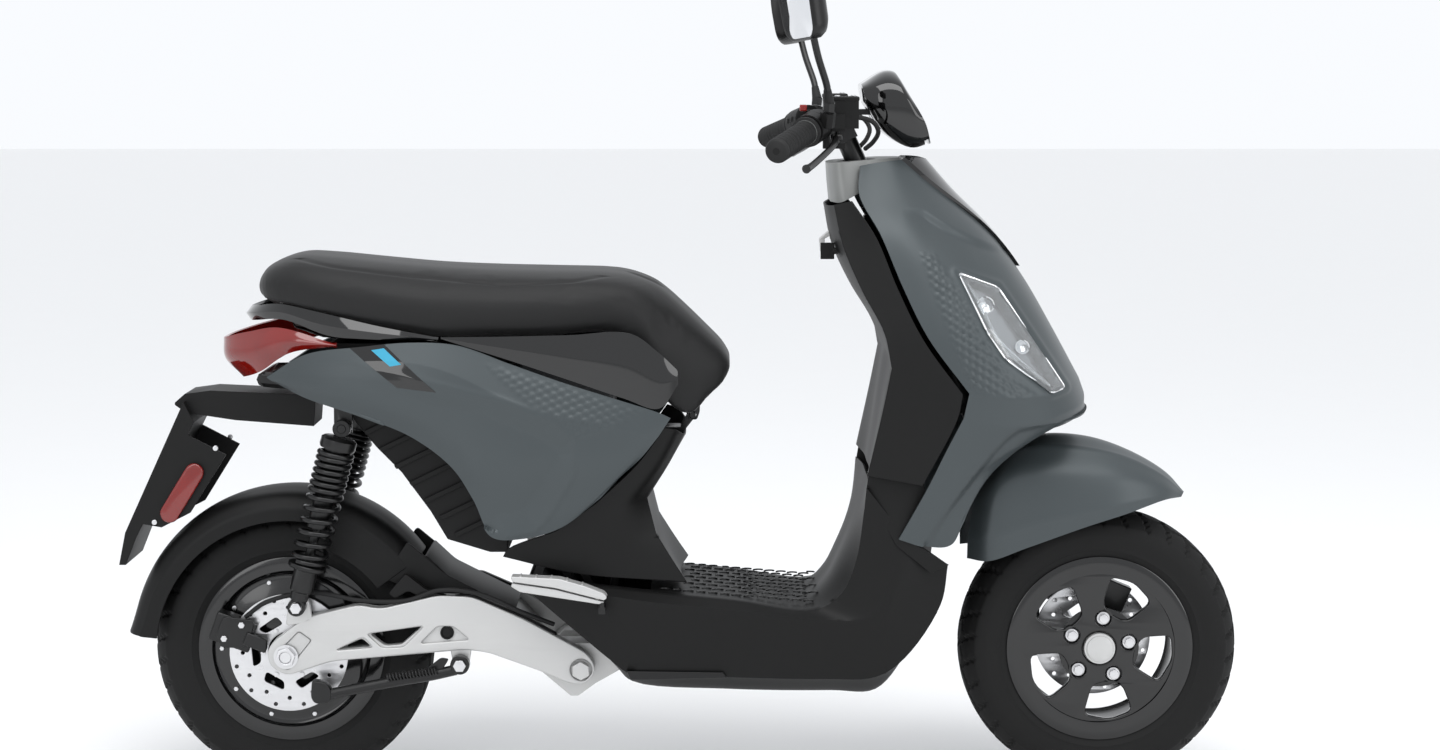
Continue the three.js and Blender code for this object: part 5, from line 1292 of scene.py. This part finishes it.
def control_pieces():
    softened("handlebar", 1.2, 2, 40)
    for word, side in (("right", -1), ("left", 1)):
        softened(f"controls_{word}", 2.0, 3, 30)
        ring = mirrored([on_grip(-0.352), on_grip(-0.345), on_grip(-0.20), on_grip(-0.195), on_grip(-0.19),
                         on_grip(-0.02), on_grip(-0.015)], side)
        tube(f"switch_shell_{word}", ring, [20, 22.6, 22.6, 21.6, 22.6, 22.6, 20], matte, "steering",
             slot="matte_black", sides=48, smooth=1)
        box_piece(f"reservoir_cap_{word}", (38, 48, 7), (812, 170 * side, 1021.5), matte, "steering",
                  edge=2.5, slot="matte_black")
        for k, (ds, dy) in enumerate(((-12, -17), (12, 17))):
            box_piece(f"cap_screw_{word}_{k}", (6, 6, 2.4), (812 + ds, 170 * side + dy, 1025.4), steel,
                      "steering", turn=(0, 0, 0.6), edge=0.8,
                      slot="steel")
        path = mirrored([(798, -192, 968), (797, -210, 964), (793, -232, 958), (772, -285, 941),
                         (757, -322, 931), (752, -333, 929)], side)
        tube(f"lever_blade_{word}", path, [5.4, 5.0, 4.6, 4.6, 4.8, 6.2], black_metal, f"lever_{word}",
             stands_for=[f"lever_{word}"], sides=24)
        box_piece(f"lever_root_{word}", (17, 20, 9.4), (799, 190 * side, 968), black_metal, f"lever_{word}",
                  edge=3, slot="black_metal")
        for k, x in enumerate((-0.26, -0.14)):
            here = Vector(on_grip(x))
            box_piece(f"switch_{word}_{k}", (7, 12, 9), (here.x - 21, here.y * -side, here.z + 2),
                      red_plastic if k == 0 and side < 0 else satin_black,
                      "steering", edge=1.5, slot="red_plastic" if k == 0 and side < 0 else "matte_black")
    softened("kill_switch", 1.6, 3)


def mirror_pieces():
    head_spin = Matrix.Rotation(math.radians(18), 4, "Z") @ Matrix.Rotation(math.radians(-8), 4, "Y")
    outline = [(-62, -34), (-48, -46), (30, -50), (58, -38), (66, 10), (56, 46), (-30, 52), (-60, 34)]
    smooth_outline = rounded(outline, 22, 6)
    for word, side in (("right", -1), ("left", 1)):
        body = f"mirror_{word}"
        flip_y = -1 if side > 0 else 1

        def at(depth, across, up):
            p = head_spin @ Vector((depth, across, up))
            return (750 + p.x, (-304 + p.y) * flip_y, 1150 + p.z)
        profile = [(-14, 0.95), (-14.4, 0.975), (-13, 0.995), (-8, 1.0), (2, 0.975), (10, 0.87), (16, 0.68),
                   (20, 0.45), (22, 0.2), (22.3, 0.02)]
        rings = [[at(d, a * k, u * k) for a, u in smooth_outline] for d, k in profile]
        rings.insert(0, [at(-13, a * 0.94, u * 0.94) for a, u in smooth_outline])
        rings.insert(0, [at(-12, a * 0.02, u * 0.02) for a, u in smooth_outline])
        loft_piece(f"mirror_shell_{word}", rings, satin_black, body, stands_for=[f"mirror_{word}"])
        glass = [[at(d, a * k, u * k) for a, u in smooth_outline] for d,
                 k in ((-13.2, 0.02), (-13.2, 0.91), (-12.4, 0.93), (-12.2, 0.02))]
        loft_piece(f"mirror_glass_{word}", glass, mirror_glass, body, slot="steel")
        path = [(787, -229 * flip_y, 1014), (785, -234 * flip_y, 1026), (783, -240 * flip_y, 1040),
                (770, -262 * flip_y, 1080),
                (760, -282 * flip_y, 1120), (756, -291 * flip_y, 1134)]
        tube(f"mirror_stem_{word}", path, 5, black_metal, body, slot="black_metal", sides=24)
        tube(f"mirror_nut_{word}", [(786.1, -226.6 * flip_y, 1005.4), (787, -229 * flip_y, 1017)], [9, 9],
             black_metal, body, slot="black_metal",
             sides=6, smooth=1)
        tube(f"mirror_boot_{word}", [(786.8, -228.6 * flip_y, 1016), (784, -237 * flip_y, 1034)],
             [7.6, 5.6], grip_rubber, body,
             slot="grip_rubber", sides=24, smooth=1)


def loft_piece(name, rings, mat, body, stands_for=(), slot=None, sharp=38):
    """Rings of equal length joined into a closed skin, with a flat end at each end."""
    n = len(rings[0])
    verts = [P(*p) for ring in rings for p in ring]
    faces = []
    for i in range(len(rings) - 1):
        faces += [(i * n + k, i * n + (k + 1) % n, (i + 1) * n + (k + 1) % n,
                   (i + 1) * n + k) for k in range(n)]
    faces += [tuple(reversed(range(n))), tuple((len(rings) - 1) * n + k for k in range(n))]
    mesh = mesh_of(name, verts, faces)
    edit = bmesh.new()
    edit.from_mesh(mesh)
    bmesh.ops.recalc_face_normals(edit, faces=edit.faces)
    edit.to_mesh(mesh)
    edit.free()
    return piece(name, mesh, mat, body, slot=slot, stands_for=stands_for, sharp=sharp)


LAMP = [
    [(840, 0, 1040), (841, -46, 1040), (842, -66, 1034), (844, -70, 1024), (846, -60, 1014), (848, 0, 1012)],
    [(872, 0, 1060), (873, -52, 1057), (874, -78, 1040), (872, -84, 1000), (872, -62, 976), (874, 0, 972)],
    [(888, 0, 1060), (890, -50, 1056), (900, -80, 1034), (912, -84, 996), (912, -62, 954), (914, 0, 950)],
    [(892, 0, 1056), (896, -46, 1050), (910, -74, 1024), (932, -76, 986), (941, -56, 958), (944, 0, 956)],
]
LAMP_FACE = [(904, 1060), (950, 1060), (960, 950), (936, 950), (928, 975), (902, 1032)]


def lamp_pieces():
    rings = []
    for row in LAMP:
        line = spline(row, 8)
        rings.append([tuple(p) for p in line] + [(s, -y, z) for s, y,
                                                 z in reversed([tuple(p) for p in line[1:-1]])])
    rows = np.array(rings)
    fine = np.array([spline(rows[:, j], 6) for j in range(rows.shape[1])]).transpose(1, 0, 2)
    rings = [[tuple(p) for p in ring] for ring in fine]
    lamp = loft_piece("lamp_shell", rings, gloss, "steering", ["headlamp_housing"])
    room = temp_prism([(s - 1, z) for s, z in LAMP_FACE], -62, 62)
    cut_with(lamp, [room])
    bevel(lamp, 1.2, 2, 45)
    lens = loft_piece("lamp_lens", rings, clear, "steering", ["headlamp_lens"])
    cut_with(lens, [temp_prism([(905, 1062), (950, 1062), (962, 948), (941, 950), (933, 976), (907, 1032)],
                               -61, 61)], "INTERSECT")
    for k, y in enumerate((-34, 0, 34)):
        ring = [(0.01, 0), (10, 0), (14, 4), (15, 8), (13.6, 8), (12.6, 4.6), (9, 1.6), (0.01, 1.4)]
        lathe_along(f"lamp_bowl_{k}", (905, 1004), (-0.93, -0.36), y, [(-d - 5, r) for r, d in ring],
                    chrome, "steering", slot="steel")
    coverage = [[(797, 0, 871), (799, -58, 871), (812, -88, 872), (850, -80, 892), (884, -62, 906),
                 (908, -34, 918), (914, 0, 920)],
                [(794, 0, 899), (796, -54, 899), (808, -81, 900), (846, -74, 911), (877, -59.5, 919),
                 (903, -34.5, 926), (910, 0, 927)],
                [(792, 0, 926), (794, -48, 927), (806, -74, 928), (840, -66, 931), (868, -56, 933),
                 (896, -34, 934), (904, 0, 934)]]
    rings = []
    for row in coverage:
        line = spline(row, 8)
        rings.append([tuple(p) for p in line] + [(s, -y, z) for s, y,
                                                 z in reversed([tuple(p) for p in line[1:-1]])])
    cover = loft_piece("cover_skin", rings, light_grey, "chassis", ["steering_cover"])
    hollow = loft_piece("cover_cutter", [[(852 + (s - 852) * 0.95, y * 0.95, z + lift) for s, y, z in ring]
                                         for ring,
                                         lift in ((rings[0], -20), (rings[1], -4), (rings[2], -4))],
                                         light_grey, "chassis", slot="light_grey")
    stem = cylinder_cutter([on_steer(840), on_steer(985)], 28)
    cut_with(cover, [hollow, stem])
    bevel(cover, 1.2, 2, 50)


# ---------- brake hoses --------------------
def detail_pieces():
    for word, side in (("right", -1), ("left", 1)):
        tube(f"brake_hose_{word}", mirrored([(826, -152, 996), (850, -140, 990), (862, -112, 974),
                                             (856, -84, 958), (846, -66, 948)], side), 3.4,
             grip_rubber, "steering", slot="grip_rubber", sides=16)
    hose = [(392, -84, 252), (348, -97, 272), (285, -99, 300), (226, -99, 306), (176, -97, 290),
            (110, -95, 290), (40, -88, 300), (-30, -82, 285),
            (-62, -78, 262)]
    tube("rear_brake_hose", hose, 3.4, grip_rubber, "swingarm", slot="grip_rubber", sides=16)


# ---------- seat ----------
SEAT = [
    (-38, 742, 758, 62), (-22, 736, 777, 92), (18, 729, 793, 116), (62, 720, 792, 130),
    (134, 705, 785, 140), (222, 691, 777, 143),
    (311, 690, 773, 143), (400, 691, 771, 141), (486, 694, 768, 134), (524, 664, 758, 126),
    (556, 582, 740, 116), (590, 562, 709, 104),
    (616, 584, 683, 92), (636, 602, 662, 80), (648, 622, 642, 64),
]


def seat_ring(s, low, top, half):
    h = top - low
    right = [(0, top), (-0.55 * half, top - 0.04 * h), (-0.86 * half, top - 0.2 * h),
             (-half, top - 0.5 * h), (-0.97 * half, low + 0.14 * h),
             (-0.9 * half, low), (0, low)]
    right[4:6] = [(-0.985 * half, low + 0.1 * h), (-0.95 * half, low)]
    line = [tuple(p) for p in spline([(s, y, z) for y, z in right[:5]], 6)] + [(s, *right[5]), (s, *right[6])]
    return line + [(a, -b, c) for a, b, c in reversed(line[1:-1])]


def seat_pieces():
    stations = spline(SEAT, 3)
    rings = [seat_ring(s, low + 2 - (9 if s < 505 else 0), top - 2.5, half - 2.5) for s, low, top,
             half in stations]
    seat = loft_piece("seat_pad", rings, vinyl, "seat", ["seat"])
    under = temp_prism([(498, 648), (498, 540), (608, 510), (608, 602), (562, 664)], -60, 60)
    cut_with(seat, [under])
    voxel = seat.modifiers.new("remesh", "REMESH")
    voxel.mode = "VOXEL"
    voxel.voxel_size = (0.0055)
    applied(seat)
    puff(seat)
    fine = seat.modifiers.new("smooth", "SUBSURF")
    fine.levels = fine.render_levels = 1
    applied(seat)
    seam_line(seat)
    for face in seat.data.polygons:
        face.use_smooth = True
    for k, y in enumerate((-37, 28)):
        tab = [(562, 664), (612, 664), (606, 560), (602, 549), (590, 549), (586, 560)]
        plate(f"seat_tab_{k}", [rounded(tab, 3), circle((596, 556), 5, 24)], y, y + 9, black_metal, "seat",
              1, slot="black_metal")


def puff(obj):
    """Blows the pad up under its own cover for a few frames, and keeps the movement small."""
    rest = np.empty(len(obj.data.vertices) * 3)
    obj.data.vertices.foreach_get("co", rest)
    cloth = obj.modifiers.new("cloth", "CLOTH")
    settings = cloth.settings
    settings.quality = 5
    settings.mass = 0.3
    settings.tension_stiffness = 25
    settings.compression_stiffness = 25
    settings.shear_stiffness = 10
    settings.bending_stiffness = 4
    settings.use_pressure = True
    settings.uniform_pressure_force = 4
    settings.effector_weights.gravity = 0
    settings.shrink_min = -0.012
    cloth.point_cache.frame_start, cloth.point_cache.frame_end = 1, 20
    for number in range(1, 21):
        scene.frame_set(number)
    graph = bpy.context.evaluated_depsgraph_get()
    mesh = bpy.data.meshes.new_from_object(obj.evaluated_get(graph))
    moved = np.empty(len(mesh.vertices) * 3)
    mesh.vertices.foreach_get("co", moved)
    step = (moved - rest).reshape(-1, 3)
    length = np.linalg.norm(step, axis=1, keepdims=True)
    cap = 0.0035
    step *= np.minimum(1, cap / np.maximum(length, 1e-9))
    obj.modifiers.clear()
    obj.data.vertices.foreach_set("co", (rest.reshape(-1, 3) + step).ravel())
    obj.data.update()
    scene.frame_set(1)


def seam_line(obj):
    """Presses the cover in along the seam between the top panel and the side."""
    co = np.empty(len(obj.data.vertices) * 3)
    obj.data.vertices.foreach_get("co", co)
    co = co.reshape(-1, 3)
    s, y, z = (co[:, 0] - REAR_AXLE_X) / MM, co[:, 1] / MM, co[:, 2] / MM
    stations = np.array(SEAT, float)
    half = np.interp(s, stations[:, 0], stations[:, 3])
    level = np.interp(s, [20, 77, 182, 326, 424, 500], [791, 780, 767, 754, 759, 770])
    shoulder = (np.abs(y) > half * 0.62) & (s > 5) & (s < 520)
    dip2 = 1.5 * np.exp(-((z - level) / 1.9) ** 2) * shoulder
    normal = np.empty(len(obj.data.vertices) * 3)
    obj.data.vertices.foreach_get("normal", normal)
    normal = normal.reshape(-1, 3)
    co = co - normal * (dip2[:, None] * MM)
    obj.data.vertices.foreach_set("co", co.ravel())
    obj.data.update()


# ---------- build everything ----------
shield_pieces()
leg_pieces()
side_pieces()
wheel_pieces()
swingarm_pieces()
rear_guard_pieces()
shock_pieces()
stand_pieces()
low_pieces()
front_fender_piece()
grip_pieces()
control_pieces()
mirror_pieces()
lamp_pieces()
detail_pieces()
seat_pieces()
for node_name in ("ignition_key", "bag_hook"):
    softened(node_name, 1.2, 3)

# ---------- stage, light and camera ----------
scene.view_settings.view_transform = "Standard"
floor_mat = material("stage_floor", (0.90, 0.90, 0.90), 0.6, vary=0.005, shine=0.2)
bpy.ops.mesh.primitive_plane_add(size=60, location=(0, 0, -0.0005))
ground = bpy.context.object
ground.name = "stage_ground"
ground.data.materials.append(floor_mat)

world = bpy.data.worlds.new("studio")
scene.world = world
world.use_nodes = True
world.node_tree.nodes["Background"].inputs["Color"].default_value = (0.95, 0.97, 1.0, 1)
world.node_tree.nodes["Background"].inputs["Strength"].default_value = 1.0


def lamp(name, location, target, size, power):
    light = bpy.data.lights.new(name, "AREA")
    light.shape = "RECTANGLE"
    light.size, light.size_y = size
    light.energy = power
    obj = bpy.data.objects.new(name, light)
    scene.collection.objects.link(obj)
    obj.location = location
    obj.rotation_euler = (Vector(target) - Vector(location)).to_track_quat("-Z", "Y").to_euler()


lamp("key_above", (0.1, -1.4, 3.4), (0, 0, 0.5), (3.6, 1.6), 70)
lamp("strip_side", (-1.9, -3.0, 1.7), (0, 0, 0.6), (0.9, 2.4), 18)
lamp("front_fill", (2.9, -2.2, 1.5), (0.3, 0, 0.6), (1.2, 2.2), 22)

camera_data = bpy.data.cameras.new("studio_camera")
camera_data.lens = 67.96
camera_data.sensor_width = 36
camera = bpy.data.objects.new("studio_camera", camera_data)
scene.collection.objects.link(camera)
camera.location = (0.054, -4.010, 1.072)
camera.rotation_euler = (Vector((0.059, 0, 0.611)) - camera.location).to_track_quat("-Z", "Y").to_euler()
scene.camera = camera
